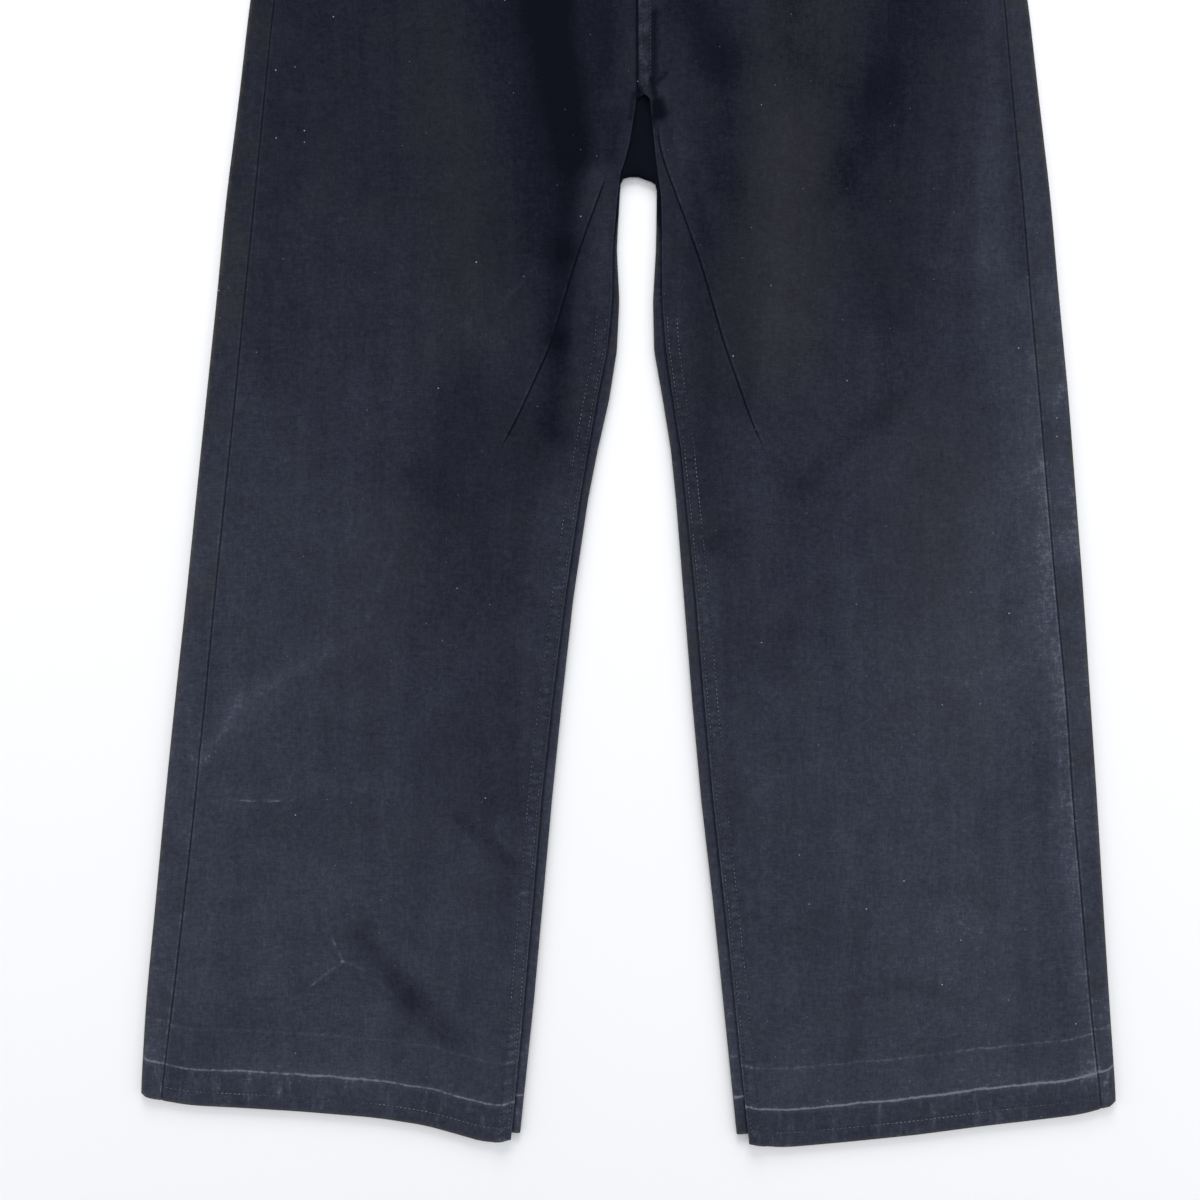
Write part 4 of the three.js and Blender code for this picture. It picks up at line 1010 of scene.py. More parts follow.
def weave_group():
    """Heavy twill: fine diagonal ribs with uneven yarns, as a height and as a light and dark mottle."""
    outputs = {"Height": "Float", "Mottle": "Float"}
    made, tree, source, end = new_group("twill_weave", {"Place": "Vector"}, outputs)
    place = source["Place"]
    wobble = tree.noise(place, 0.35)
    across_rib = tree.axis(tree.scaled(place, 1.0, 1.0, 1.0, turn=0.62), 0)
    rib = tree.math("SINE", tree.times_plus(across_rib, 7.2, tree.times(wobble, 5.0)))
    yarns = tree.streaks(place, (1.6, 0.22, 1.0), 3.0, 0.6)
    picks = tree.streaks(place, (0.2, 1.5, 1.0), 3.0, 0.6, offset=(31.0, 7.0, 0.0))
    grain = tree.noise(place, 1.9, 2.0, 0.7)
    slub = tree.plus(tree.times(yarns, 0.5), tree.times(picks, 0.5))
    height = tree.plus(tree.times(rib, 0.18), tree.times(slub, 0.9))
    strands = tree.streaks(place, (0.75, 0.1, 1.0), 2.0, 0.7, offset=(3.0, 60.0, 0.0))
    rows = tree.streaks(place, (0.11, 0.8, 1.0), 2.0, 0.7, offset=(70.0, 2.0, 0.0))
    mottle = tree.times(slub, 0.3)
    for part, share in ((grain, 0.3), (strands, 0.26), (rows, 0.26)):
        mottle = tree.times_plus(part, share, mottle)
    tree.fill(end, {"Height": height, "Mottle": mottle})
    return made


def wash_group():
    """The dye left by washing: broad clouds, streaks down the warp, and small rubbed flecks."""
    outputs = {"Fade": "Float", "Flecks": "Float"}
    made, tree, source, end = new_group("wash", {"Place": "Vector"}, outputs)
    place = source["Place"]
    patches = tree.noise(tree.moved(place, 90.0, 40.0, 0.0), 0.045, 4.0, 0.6)
    streaks = tree.streaks(place, (0.09, 0.006, 1.0), 3.0, 0.55)
    fine = tree.noise(place, 0.28, 3.0, 0.65)
    grain = tree.noise(place, 0.85, 2.0, 0.6)
    total = tree.times(tree.noise(place, 0.011, 4.0, 0.55), 0.13)
    for part, share in ((patches, 0.15), (streaks, 0.14), (fine, 0.3), (grain, 0.28)):
        total = tree.times_plus(part, share, total)
    specks = tree.noise(tree.moved(place, 5.0, 77.0, 0.0), 0.55, 1.0)
    tree.fill(end, {"Fade": total, "Flecks": tree.range(specks, 0.69, 0.8)})
    return made


NEAR_LINE = near_line_group()
WEAVE = weave_group()
WASH = wash_group()

# Dye from black to rubbed through, linear light
DYE = (
    (0.0, (0.0007, 0.0014, 0.0050)),
    (0.22, (0.0040, 0.0055, 0.0120)),
    (0.45, (0.0135, 0.0152, 0.0248)),
    (0.65, (0.0283, 0.0320, 0.0475)),
    (0.8, (0.0455, 0.0518, 0.0750)),
    (1.0, (0.1480, 0.1580, 0.1850)),
)
KHAKI = (0.060, 0.052, 0.034, 1.0)
BROWN = (0.027, 0.026, 0.020, 1.0)
LINT = (0.42, 0.43, 0.46, 1.0)
# Specks of lint: cells per millimetre, the share of cells without one, a speck's radius as a share of its
# cell, and how strong it shows at least and at most
LINT_DOTS = ((0.15, 0.945, 0.085, 0.2, 0.9), (0.36, 0.982, 0.17, 0.06, 0.3))
# How the fade grows down the garment: from one height to another, its value at each
FADE_DOWN = ((360.0, -190.0, -0.15, 0.115), (-190.0, -450.0, 0.0, 0.055))
# The weave's mottle in the fade: its share, and what centres it
MOTTLE = (0.64, -0.362)
# How much each kind of wear, painted shade or painted highlight adds to the fade, or takes from it
WEAR_AND_PAINTED_LIGHT = {
    "flecks": 0.06,
    # painted shadow on the back's strip beside the front's lapping edge
    "painted_lap_shadow": -0.2,
    "edge": 0.11,
    "hem_shade": -0.045,
    "hem_puckers": 0.13,
    "hem_rim": 0.16,
    "inseam_tops": 0.09,
    "inseam_band": 0.04,
    # painted shade in the pinch along an inseam's rows
    "inseam_rows": -0.07,
    # painted highlight along an inseam's folded edge
    "inseam_edge": 0.17,
    # painted shade along a dart's crease, and a painted highlight on its ridge
    "dart_line": -0.34,
    "dart_ridge": 0.15,
    "seam_spots": 0.055,
    "seam_ridge": 0.08,
    # painted shade in a plain seam's groove
    "seam_groove": -0.15,
}
# Khaki on a worn edge: how much where the dye is broken, and everywhere
EDGE_KHAKI = {"leg": (0.4, 0.25), "plain": (0.26, 0.08)}

# Wide patches that are darker or paler: dye, and painted shade in the troughs of the folds and round the
# crotch
DYE_AND_SHADE_PATCHES = table(
    "x1 y1 x2 y2 width strength",
    (-72, 420, -64, 350, 22, -0.07),
    (-64, 350, -58, 309, 18, -0.24),
    (-58, 309, -46, 230, 16, -0.12),
    (-58, 309, -40, 204, 14, -0.36),
    (-200, 320, -110, 300, 40, -0.03),
    (-41, 200, -44, 134, 10, -0.22),
    (-44, 134, -49, 71, 9, -0.2),
    (-49, 71, -52, 5, 9, -0.2),
    (-55, 309, -58, 0, 26, -0.11),
    (-86, 309, -75, 150, 28, -0.08),
    (-20, 309, -16, 200, 12, -0.14),
    (-14, 236, -20, 186, 8, 0.1),
    (-26, 186, -38, 140, 7, 0.05),
    (-18, 160, -22, 96, 6, 0.07),
    (-115, 40, -139, -27, 22, -0.1),
    (-132, -40, -130, -116, 24, -0.08),
    (-97, 15, -95, -250, 26, -0.1),
    (-70, 10, -78, -110, 16, -0.06),
    (-139, -153, -139, -251, 22, -0.03),
    (-118, -265, -79, -297, 5, -0.1),
    (-188, -346, -153, -391, 8, -0.12),
    (-153, -391, -125, -419, 11, -0.12),
    (-90, -293, -86, -349, 7, -0.07),
    (-265, 46, -270, -190, 22, 0.05),
    (-225, -60, -235, -200, 30, 0.03),
    (-290, -200, -300, -380, 20, 0.06),
    (-296, -223, -272, -181, 6, 0.05),
    (-272, -181, -209, -146, 7, 0.05),
    (-280, -250, -170, -240, 9, 0.04),
    (-240, -330, -200, -320, 34, 0.04),
    (-270, -440, -170, -452, 16, 0.06),
    (43, 309, 64, 267, 17, -0.16),
    (64, 267, 70, 180, 16, -0.1),
    (45, 190, 54, 143, 5, -0.12),
    (24, 250, 44, 175, 8, 0.07),
    (70, 180, 82, 29, 14, -0.08),
    (50, 134, 58, -69, 14, -0.12),
    (118, 309, 124, 255, 18, -0.08),
    (110, 230, 105, 90, 22, 0.05),
    (194, 309, 176, 253, 19, -0.11),
    (176, 253, 155, 190, 18, -0.12),
    (183, 225, 190, 90, 20, -0.07),
    (155, 190, 170, 99, 15, -0.06),
    (187, 29, 120, -34, 9, -0.08),
    (118, -20, 122, -125, 26, -0.08),
    (70, -70, 84, -150, 18, -0.05),
    (105, 0, 130, -20, 12, 0.02),
    (250, 309, 255, 90, 22, 0.05),
    (280, 110, 324, -445, 10, 0.12),
    (275, 50, 290, -150, 15, 0.07),
    (225, -450, 330, -446, 12, 0.04),
    (240, 200, 255, -330, 50, 0.05),
    (255, 309, 256, 130, 16, 0.11),
    (190, -190, 220, -400, 60, 0.05),
    (256, 130, 268, -20, 18, 0.05),
    (262, -50, 262, -200, 25, 0.05),
    (295, -24, 305, -304, 14, 0.02),
    (205, -150, 225, -155, 30, 0.03),
    (155, -280, 158, -307, 6, 0.05),
    (155, -391, 190, -381, 5, -0.05),
    (190, -381, 232, -391, 5, -0.04),
    (100, -450, 290, -438, 14, 0.02),
    (185, -412, 260, -412, 10, 0.01),
)
# The same for the back: its strips beyond the side seams are paler, the crotch is painted almost black as
# shade
BACK_DYE_AND_SHADE_PATCHES = table(
    "x1 y1 x2 y2 width strength",
    # painted shade: the hollow of the crotch
    (7, 262, 7, 184, 26, -1.1),
    (272, 309, 298, 40, 14, 0.2),
    (300, 20, 309, -70, 15, 0.12),
    (309, -70, 324, -280, 14, 0.08),
    (330, -400, 338, -470, 12, 0.05),
    (-257, 309, -286, 29, 12, 0.02),
    (-288, 0, -336, -459, 12, 0.05),
)
# Where brown shows through the black
BROWNED = table(
    "x1 y1 x2 y2 width strength",
    (125, 300, 100, 70, 34, 0.9),
    (-135, 290, -110, 90, 28, 0.5),
    (220, -20, 230, -200, 40, 0.6),
    (-170, -60, -200, -170, 30, 0.25),
    (230, -330, 200, -400, 40, 0.3),
)
# Fine lines: pale ones rubbed, and round the fly's end and the crotch's V dark ones of painted shadow and one
# of painted highlight
RUBBED_AND_PAINTED_LIGHT_LINES = table(
    "x1 y1 x2 y2 width strength",
    # painted shadow along the centre seam's lap, then a painted highlight on the fold beside it
    (6.0, 309, 6.3, 240, 1.0, -0.45),
    (7.7, 309, 8.2, 247, 0.6, 0.2),
    (11.6, 309, 11.8, 262, 4.4, 0.24),
    (12, 262, 12.6, 245, 2.9, 0.24),
    # to the end of the dark lines: painted shade round the fly's end and in the crotch's V
    (17.9, 300, 17.5, 254, 2.4, -0.3),
    (15.8, 252, 18.4, 243, 2.2, -0.36),
    (18.6, 250, 26, 257, 2.0, -0.2),
    (21.5, 236, 22.6, 229, 4.4, -0.42),
    (19, 238, 17, 222, 2.4, -0.25),
    (7.4, 246, 7.4, 236, 2.0, -0.3),
    (3.6, 243, 1.4, 226, 2.0, -0.2),
    (-6, 232, -12, 200, 4.0, -0.07),
    (-281, -250.6, -262, -252.5, 0.8, 0.2),
    (-262, -252.5, -236, -252, 0.9, 0.3),
    (-213, -326, -209, -345, 1.2, 0.12),
    (-209, -345, -200, -364, 1.1, 0.2),
    (-200, -364, -222, -381, 1.2, 0.14),
    (-200, -364, -186, -370, 1.1, 0.14),
    (-186, -370, -160, -392, 1.2, 0.08),
    (-173, -238, -172, -284, 1.6, 0.06),
    (-153, -27, -167, -83, 1.8, 0.09),
    (-167, -83, -188, -139, 2.4, 0.07),
    (-296, -223, -275, -186, 2.0, 0.08),
    (-262, -178, -209, -146, 2.6, 0.05),
    (-92, 92, -66, 121, 1.3, 0.08),
    (-262, 241, -205, 240, 2.0, 0.07),
    (-250, 118, -230, 84, 2.4, 0.05),
    (-32, 88, -29, 80, 1.4, 0.08),
    (-29, 80, -22, 79, 1.4, 0.08),
    (138, 333, 134, 290, 2.4, 0.05),
    (228, -240, 228, -320, 1.6, 0.05),
    (302, -215, 306, -300, 1.8, 0.06),
    (222, -85, 226, -112, 1.4, 0.06),
)
# Old hem creases: height above the hem, width and strength
OLD_CREASES = ((25.2, 1.15, 0.36), (53.0, 1.4, 0.11))
THREAD_TONES = {"dark": (0.030, 0.032, 0.041, 1.0), "pale": (0.215, 0.225, 0.25, 1.0)}
THREAD_GROOVE = (0.03, 0.031, 0.038, 1.0)
METAL_TONES = {"dark": (0.085, 0.082, 0.080, 1.0), "pale": (0.22, 0.215, 0.205, 1.0)}
TAPE_TONES = {"dark": (0.008, 0.009, 0.012, 1.0), "pale": (0.018, 0.019, 0.024, 1.0)}


def new_material(name):
    """A new material's tree and shader, with the Object coordinates of its piece."""
    material = bpy.data.materials.new(name)
    material.use_nodes = True
    tree = Tree(material.node_tree)
    return material, tree, material.node_tree.nodes["Principled BSDF"], tree.add("TexCoord").outputs["Object"]


def in_millimetres(tree, here):
    """Object coordinates in millimetres."""
    return tree.scaled(here, 1000.0, 1000.0, 1000.0)


def colours_of(tree, value):
    """The dye's colour for a fade from 0 to 1."""
    node = tree.add("ValToRGB", {0: value})
    ramp = node.color_ramp
    while len(ramp.elements) < len(DYE):
        ramp.elements.new(0.5)
    for element, (at, colour) in zip(ramp.elements, DYE):
        element.position = at
        element.color = (*colour, 1.0)
    return node.outputs[0]


def rubbed_and_painted_light_lines(tree, place, broken, fade_and_shade):
    """Adds the fine lines to a fade, the pale ones broken up along their length: rubbed lines, and painted
    shadow and highlight round the fly and crotch.
    """
    for x1, y1, x2, y2, width, strength in zip(*RUBBED_AND_PAINTED_LIGHT_LINES.values()):
        ends = {"From": (x1, y1, 0.0), "To": (x2, y2, 0.0)}
        near = tree.group(NEAR_LINE, Place=place, Width=width, **ends)["Near"]
        if strength > 0:
            near = tree.times(near, broken)
        fade_and_shade = tree.times_plus(near, strength, fade_and_shade)
    return fade_and_shade


def hem_wear(tree, place, fade_and_shade):
    """Adds what a hem shows: pale old creases, brighter to the right, a blacker band under them with rubbed
    puckers, a worn rim. Gives the fade, and how khaki the rim is."""
    above = tree.mark("above_hem")
    across = tree.axis(place, 0)
    wander = tree.streaks(place, (0.035, 0.0, 0.0), 3.0, 0.6)
    shifted = tree.plus(above, tree.times_plus(wander, -4.0, 2.0))
    ragged = tree.range(tree.noise(place, 0.22, 4.0, 0.75), 0.3, 0.62)
    rightward = tree.range(across, -330.0, 330.0, 0.62, 1.1)
    for line, width, strength in OLD_CREASES:
        off = tree.size(tree.math("SUBTRACT", shifted, line))
        crisp = tree.times(tree.range(off, width, 0.1), tree.times_plus(ragged, 0.55, 0.45))
        soft = tree.times(tree.range(off, width * 3.6, 0.2), ragged)
        pale = tree.times(tree.times_plus(soft, 0.22, crisp), rightward)
        fade_and_shade = tree.times_plus(pale, strength, fade_and_shade)
    fade_and_shade = tree.wear_and_painted_light(fade_and_shade, tree.range(above, 25.0, 21.0), "hem_shade")
    bent = tree.times_plus(tree.noise(place, 0.06), 14.0, above)
    by_hem = tree.add("CombineXYZ", {0: across, 1: bent}).outputs[0]
    streaks = tree.streaks(by_hem, (0.13, 0.03, 0.0), 3.0, 0.7, offset=(4.0, 0.0, 0.0))
    rubbed = tree.times(tree.range(streaks, 0.5, 0.68), tree.range(above, 26.0, 22.0))
    fade_and_shade = tree.wear_and_painted_light(fade_and_shade, rubbed, "hem_puckers")
    flecks = tree.range(tree.noise(place, 0.5, 3.0), 0.38, 0.6)
    fade_and_shade = tree.wear_and_painted_light(fade_and_shade, tree.times(tree.range(above, 2.4, 0.2), flecks), "hem_rim")
    return fade_and_shade, tree.times(tree.range(above, 2.6, 0.3), 0.6)


def inseam_wear_and_light(tree, place, fade_and_shade):
    """Adds what a felled seam shows: a few rubbed puckers, painted shade in the pinch along both rows, a
    painted highlight along the folded edge, broken up by rubbing.
    """
    from_lap, sewn = tree.mark("from_lap"), tree.mark("sewn")
    ripple = tree.math("SINE", tree.mark("pucker"))
    rub = tree.range(tree.streaks(place, (0.14, 0.1, 0.2), 3.0, 0.7), 0.42, 0.66)
    on_band = tree.times(tree.range(from_lap, 10.5, 8.5), tree.range(from_lap, 1.6, 3.0))
    on_band = tree.times(on_band, sewn)
    fade_and_shade = tree.wear_and_painted_light(fade_and_shade, tree.times(tree.times(ripple, rub), on_band), "inseam_tops")
    fade_and_shade = tree.wear_and_painted_light(fade_and_shade, tree.times(on_band, rub), "inseam_band")
    # painted shade in the pinch along each row
    for row in TWIN_ROWS:
        off = tree.size(tree.math("SUBTRACT", from_lap, row))
        fade_and_shade = tree.wear_and_painted_light(fade_and_shade, tree.times(tree.range(off, 1.2, 0.2), sewn), "inseam_rows")
    # painted highlight on the folded edge, broken up by rubbing
    edge = tree.times(tree.range(from_lap, 1.3, 0.3), tree.times_plus(rub, 0.5, 0.5))
    return tree.wear_and_painted_light(fade_and_shade, edge, "inseam_edge")


def dart_shade_and_highlight(tree, broken, fade_and_shade):
    """Adds painted shade along a dart's crease, and a painted highlight, broken up along its length, on the
    ridge on its outer side.
    """
    away, is_open = tree.mark("dart"), tree.mark("dart_open")
    # painted shade in the crease, then a painted highlight on the ridge
    line = tree.times(tree.range(tree.size(away), 0.85, 0.25), is_open)
    ridge = tree.range(tree.size(tree.plus(away, 1.5)), 1.3, 0.3)
    ridge = tree.times(tree.times(ridge, is_open), tree.times_plus(broken, 0.6, 0.4))
    return tree.wear_and_painted_light(tree.wear_and_painted_light(fade_and_shade, line, "dart_line"), ridge, "dart_ridge")


def seam_wear_and_shade(tree, place, fade_and_shade):
    """Adds painted shade in a plain seam's groove, the ridge along it and the rubbed spots beside it."""
    from_seam = tree.mark("from_seam")
    spots = tree.streaks(place, (0.02, 0.05, 0.0), 4.0, 0.7, offset=(0.0, 21.0, 0.0))
    spots = tree.times(tree.range(from_seam, 8.0, 1.0), tree.range(spots, 0.5, 0.64))
    ridge = tree.times(tree.range(from_seam, 2.4, 1.2), tree.range(from_seam, 0.5, 1.0))
    fade_and_shade = tree.wear_and_painted_light(tree.wear_and_painted_light(fade_and_shade, spots, "seam_spots"), ridge, "seam_ridge")
    # painted shade in the seam's groove
    return tree.wear_and_painted_light(fade_and_shade, tree.range(from_seam, 0.95, 0.25), "seam_groove")


def edge_wear(tree, broken, fade_and_shade, cut):
    """Adds a cut edge's worn dye. Gives the fade, and how khaki the edge is."""
    from_edge = tree.mark("from_edge")
    worn = tree.times(tree.range(from_edge, 6.0, 0.8), tree.times_plus(broken, 0.7, 0.3))
    fade_and_shade = tree.wear_and_painted_light(fade_and_shade, tree.times(worn, tree.range(fade_and_shade, 0.0, 0.4)), "edge")
    return fade_and_shade, tree.times(tree.range(from_edge, 3.6, 0.8), tree.times_plus(broken, *EDGE_KHAKI[cut]))


def browned(tree, place, dyed, front, colour):
    """A colour with brown showing through in clouds, and on a front also where it is marked."""
    brown = tree.range(tree.noise(tree.moved(place, 0.0, 55.0, 0.0), 0.03, 4.0), 0.42, 0.7)
    if front:
        brown = tree.plus(tree.times(brown, 0.25), tree.mark("browned"))
    return tree.blend(tree.times(tree.times(brown, 0.3), dyed), colour, BROWN)


def linted(tree, place, colour):
    """A colour with bright specks of lint, one at most in each cell."""
    for scale, without, reach, least, most in LINT_DOTS:
        cells = tree.add("TexVoronoi", {"Vector": place, "Scale": scale}, feature="F1").outputs
        chance = tree.add("SeparateColor", {0: cells["Color"]}).outputs
        bright = tree.times_plus(chance[1], most - least, least)
        bright = tree.times(tree.range(chance[0], without, without + 0.005), bright)
        lint = tree.times(tree.range(cells["Distance"], reach, reach * 0.6), bright)
        colour = tree.blend(lint, colour, LINT)
    return colour


def cotton(name, tone=0.0, front=False, leg=True, edge=False):
    """Washed black cotton, with painted shade and highlights. Fronts and legs read the marks on their mesh,
    which tell in millimetres how far they are from their hem, seams and dart; other pieces read only how far
    they are from an edge."""
    material, tree, shader, here = new_material(name)
    place = in_millimetres(tree, here)
    wash, weave = tree.group(WASH, Place=place), tree.group(WEAVE, Place=place)
    down = tree.axis(place, 1)
    fade_and_shade = tree.plus(wash["Fade"], tone)
    for stretch in FADE_DOWN:
        fade_and_shade = tree.plus(fade_and_shade, tree.range(down, *stretch))
    fade_and_shade = tree.plus(fade_and_shade, tree.times_plus(weave["Mottle"], *MOTTLE))
    fade_and_shade = tree.wear_and_painted_light(fade_and_shade, wash["Flecks"], "flecks")
    broken = tree.range(tree.noise(tree.moved(place, 11.0, 3.0, 9.0), 0.09, 3.0, 0.6), 0.36, 0.62)
    khaki = []
    if leg:
        # the dye mark holds dye patches and painted shade in the folds and round the crotch
        fade_and_shade = tree.plus(fade_and_shade, tree.mark("dye"))
    if leg and not front:
        # painted shadow on the back's strip beside the front's lapping edge
        fade_and_shade = tree.wear_and_painted_light(fade_and_shade, tree.range(tree.mark("from_lap"), 2.4, 0.8), "painted_lap_shadow")
    if front:
        # fine lines: rubbed ones, and painted shadow and highlight round the fly and crotch
        fade_and_shade = rubbed_and_painted_light_lines(tree, tree.scaled(here, 1000.0, 1000.0, 0.0), broken, fade_and_shade)
        fade_and_shade = dart_shade_and_highlight(tree, broken, fade_and_shade)
        fade_and_shade = inseam_wear_and_light(tree, place, fade_and_shade)
    if leg:
        fade_and_shade, rim = hem_wear(tree, place, fade_and_shade)
        fade_and_shade = seam_wear_and_shade(tree, place, fade_and_shade)
        khaki.append(rim)
    if edge:
        fade_and_shade, rim = edge_wear(tree, broken, fade_and_shade, "leg" if leg else "plain")
        khaki.append(rim)
    dyed = tree.range(fade_and_shade, 0.12, 0.42)
    colour = browned(tree, place, dyed, front, colours_of(tree, fade_and_shade))
    khaki = tree.math("MAXIMUM", *khaki) if len(khaki) == 2 else khaki[0]
    colour = linted(tree, place, tree.blend(tree.times(khaki, dyed), colour, KHAKI))
    crumple = tree.bump(tree.noise(place, 0.16, 3.0, 0.6), 0.4, 0.0006)
    values = {
        "Base Color": colour,
        "Roughness": tree.times_plus(weave["Mottle"], 0.14, 0.82),
        "Normal": tree.bump(weave["Height"], 0.6, 0.00018, Normal=crumple),
        "Specular IOR Level": 0.06,
        "Sheen Weight": 0.08,
        "Sheen Roughness": 0.5,
        "Sheen Tint": (0.62, 0.68, 0.85, 1.0),
    }
    tree.fill(shader, values)
    return material


def thread_finish():
    """Faded grey polyester thread: twisted plies, and paler and darker stretches."""
    material, tree, shader, here = new_material("faded_grey_thread")
    place = in_millimetres(tree, here)
    worn = tree.times_plus(tree.noise(place, 0.014, 3.0, 0.6), 0.9, -0.42)
    worn = tree.plus(worn, tree.noise(place, 0.12, 4.0, 0.75))
    worn = tree.plus(worn, tree.range(tree.axis(place, 1), 140.0, 250.0, 0.0, -0.2))
    twist = tree.noise(place, 4.0, 2.0, 0.6)
    colour = tree.blend(tree.range(worn, 0.37, 0.80), *THREAD_TONES.values())
    values = {
        "Base Color": tree.blend(tree.times(twist, 0.4), colour, THREAD_GROOVE),
        "Roughness": tree.times_plus(twist, 0.3, 0.5),
        "Normal": tree.bump(twist, 0.5, 0.0001),
        "Specular IOR Level": 0.3,
    }
    tree.fill(shader, values)
    return material


def gunmetal_finish():
    """Dull dark metal, cloudy and finely scratched."""
    material, tree, shader, here = new_material("dull_gunmetal")
    place = in_millimetres(tree, here)
    cloudy = tree.noise(place, 0.7, 4.0, 0.6)
    scratches = tree.streaks(place, (0.5, 6.0, 1.0))
    values = {
        "Base Color": tree.blend(tree.range(cloudy, 0.35, 0.7), *METAL_TONES.values()),
        "Roughness": tree.times_plus(scratches, 0.3, 0.24),
        "Normal": tree.bump(cloudy, 0.3, 0.0002),
        "Metallic": 0.95,
    }
    tree.fill(shader, values)
    return material


def tape_finish():
    """The zip's woven tape: fine crosswise ribs."""
    material, tree, shader, here = new_material("black_zip_tape")
    down = tree.axis(in_millimetres(tree, here), 1)
    rib = tree.times_plus(tree.math("SINE", tree.times(down, 7.0)), 0.5, 0.5)
    values = {
        "Base Color": tree.blend(rib, *TAPE_TONES.values()),
        "Roughness": tree.times_plus(rib, 0.1, 0.75),
        "Normal": tree.bump(rib, 0.6, 0.0002),
    }
    tree.fill(shader, values)
    return material


FRONT_COTTON = cotton("front_cotton", front=True)
BACK_COTTON = cotton("back_cotton", tone=0.03, edge=True)
PLAIN_COTTON = cotton("plain_cotton", leg=False, edge=True)
THREAD = thread_finish()
GUNMETAL = gunmetal_finish()
TAPE = tape_finish()


def finish_piece(piece, material, slot, *nodes):
    """Gives a piece its material, and lets it ride and stand for its nodes; slot is not used."""
    piece.data.materials.append(material)
    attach(piece, "root")
    if nodes:
        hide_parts(*nodes)
    return piece


def cloth_area(points, holds=1.0):
    """Area of a grid in square metres: half the cross product of each cell's diagonals."""
    diagonal = points[1:, 1:] - points[:-1, :-1]
    other = points[1:, :-1] - points[:-1, 1:]
    cells = np.linalg.norm(np.cross(diagonal, other), axis=-1) / 2
    return float((cells * holds).sum()) * MM * MM


# Legs and yokes


def front(side):
    """A front leg panel, and its cloth's area."""
    x, outer_y = front_grid(side)
    face = front_points(side, x, outer_y)
    above = outer_y - HEM[side]["outer_y"]
    _, inner = front_seams(side, outer_y)
    past_dart, is_open = dart_away(side, x, outer_y)
    beside_mouth = step(BAND_Y - MOUTH_DEPTH - 8, BAND_Y - MOUTH_DEPTH, outer_y)
    marks = {
        "above_hem": above,
        "from_seam": np.abs(x - outer_line(side, "seam", outer_y)) + FAR * beside_mouth,
        "from_lap": np.abs(x - inner),
        "pucker": pucker_phase(outer_y),
        "sewn": passing("inseam_sewn", face[..., 1]),
        "dart": past_dart,
        "dart_open": is_open,
        # dye patches, and painted shade in the folds and round the crotch
        "dye": near_runs(DYE_AND_SHADE_PATCHES, face[..., 0], face[..., 1]),
        "browned": near_runs(BROWNED, face[..., 0], face[..., 1]),
    }
    inside = face - thickness(above)[..., None] * np.array([0, 0, 1.0])
    piece = wall(f"front_{side}_cloth", face, inside, **marks)
    finish_piece(piece, FRONT_COTTON, "black_cotton", f"front_{side}")
    return piece, cloth_area(face)


def back(side, part):
    """A back leg panel or a yoke, and its cloth's area."""
    node = f"back_{side}" if part == "leg" else f"yoke_{side}"
    rows, face, inside, holds = back_section(side, part)
    rows = {key: values[:, None] for key, values in rows.items()}
    x, y, z = (face[..., k] for k in range(3))
    from_seam = np.abs(x - rows["seam_x"]) + FAR * (z < OUT_FOLD / 2)
    from_centre = np.where(rows["has_lip"], NOWHERE, np.abs(x - rows["inner_x"]))
    from_fold = np.hypot(x - rows["inner_x"], y - rows["inner_y"]) + 1.5
    from_fold = np.where(rows["has_lip"], from_fold, NOWHERE)
    _, lap_x = front_seams(side, rows["outer_y"])
    marks = {
        "above_hem": rows["outer_y"] - HEM[side]["outer_y"] - BACK_HEM_RISE,
        "from_seam": np.minimum(from_seam, from_centre),
        "from_edge": np.minimum(np.abs(x - rows["outer_x"]), from_fold),
        "from_lap": np.abs(x - lap_x) + FAR * ((z < LIP_LOWEST) | ~rows["has_lip"]),
        # paler strips, and painted shade that makes the crotch almost black
        "dye": near_runs(BACK_DYE_AND_SHADE_PATCHES, x, y) * (z > UNPATCHED_BELOW),
    }
    piece = wall(f"{node}_cloth", face, inside, holds, **marks)
    finish_piece(piece, BACK_COTTON, "black_cotton", node)
    return piece, cloth_area(face, holds)


# Waistband, loops and pockets


def band_place(x, up, layer, z):
    """A place on the waistband from its x at the band's lower edge, how far up it lies from 0 to 1, and its
    height: the band narrows to the waist, and its front dips as a parabola."""
    half = lerp(WAIST_HALF_BAND, WAIST_HALF_TOP, up)
    px = CENTRE_X + (x - CENTRE_X) * half / WAIST_HALF_BAND
    dip = (layer == "front") * WAIST_DIP * (1 - ((px - CENTRE_X) / half) ** 2)
    return np.stack(np.broadcast_arrays(px, lerp(BAND_Y, WAIST_Y, up) - dip, z), -1)


def band_front_face(x):
    """Height of the band's front: the lapping end lies on the under end."""
    past_end = step(BAND_UNDER_END + 4, BAND_UNDER_END + 18, x)
    return lerp(BAND_LAP_FACE, BAND_FACE, past_end)


def band_under_raise(x):
    """How much the band's back is raised over the belt loops that lie under it."""
    raised = 0.0
    for middle in BACK_LOOPS.values():
        away = np.abs(x - middle) - LOOP_HALF - 2.4
        raised = raised + UNDER_RAISE * step(8, 0, away)
    return raised


def band_pressed(up, x):
    """How the band's cloth sinks at its edges and along its two rows of stitches, with a slow unevenness."""
    from_edge = np.minimum(up, 1 - up) * (WAIST_Y - BAND_Y)
    pressed = sunk("band_edge", from_edge) + sunk("band_row", from_edge - BAND_STITCH)
    return pressed - ruffled("band", x, 40 * up) * step(0, 6, from_edge)


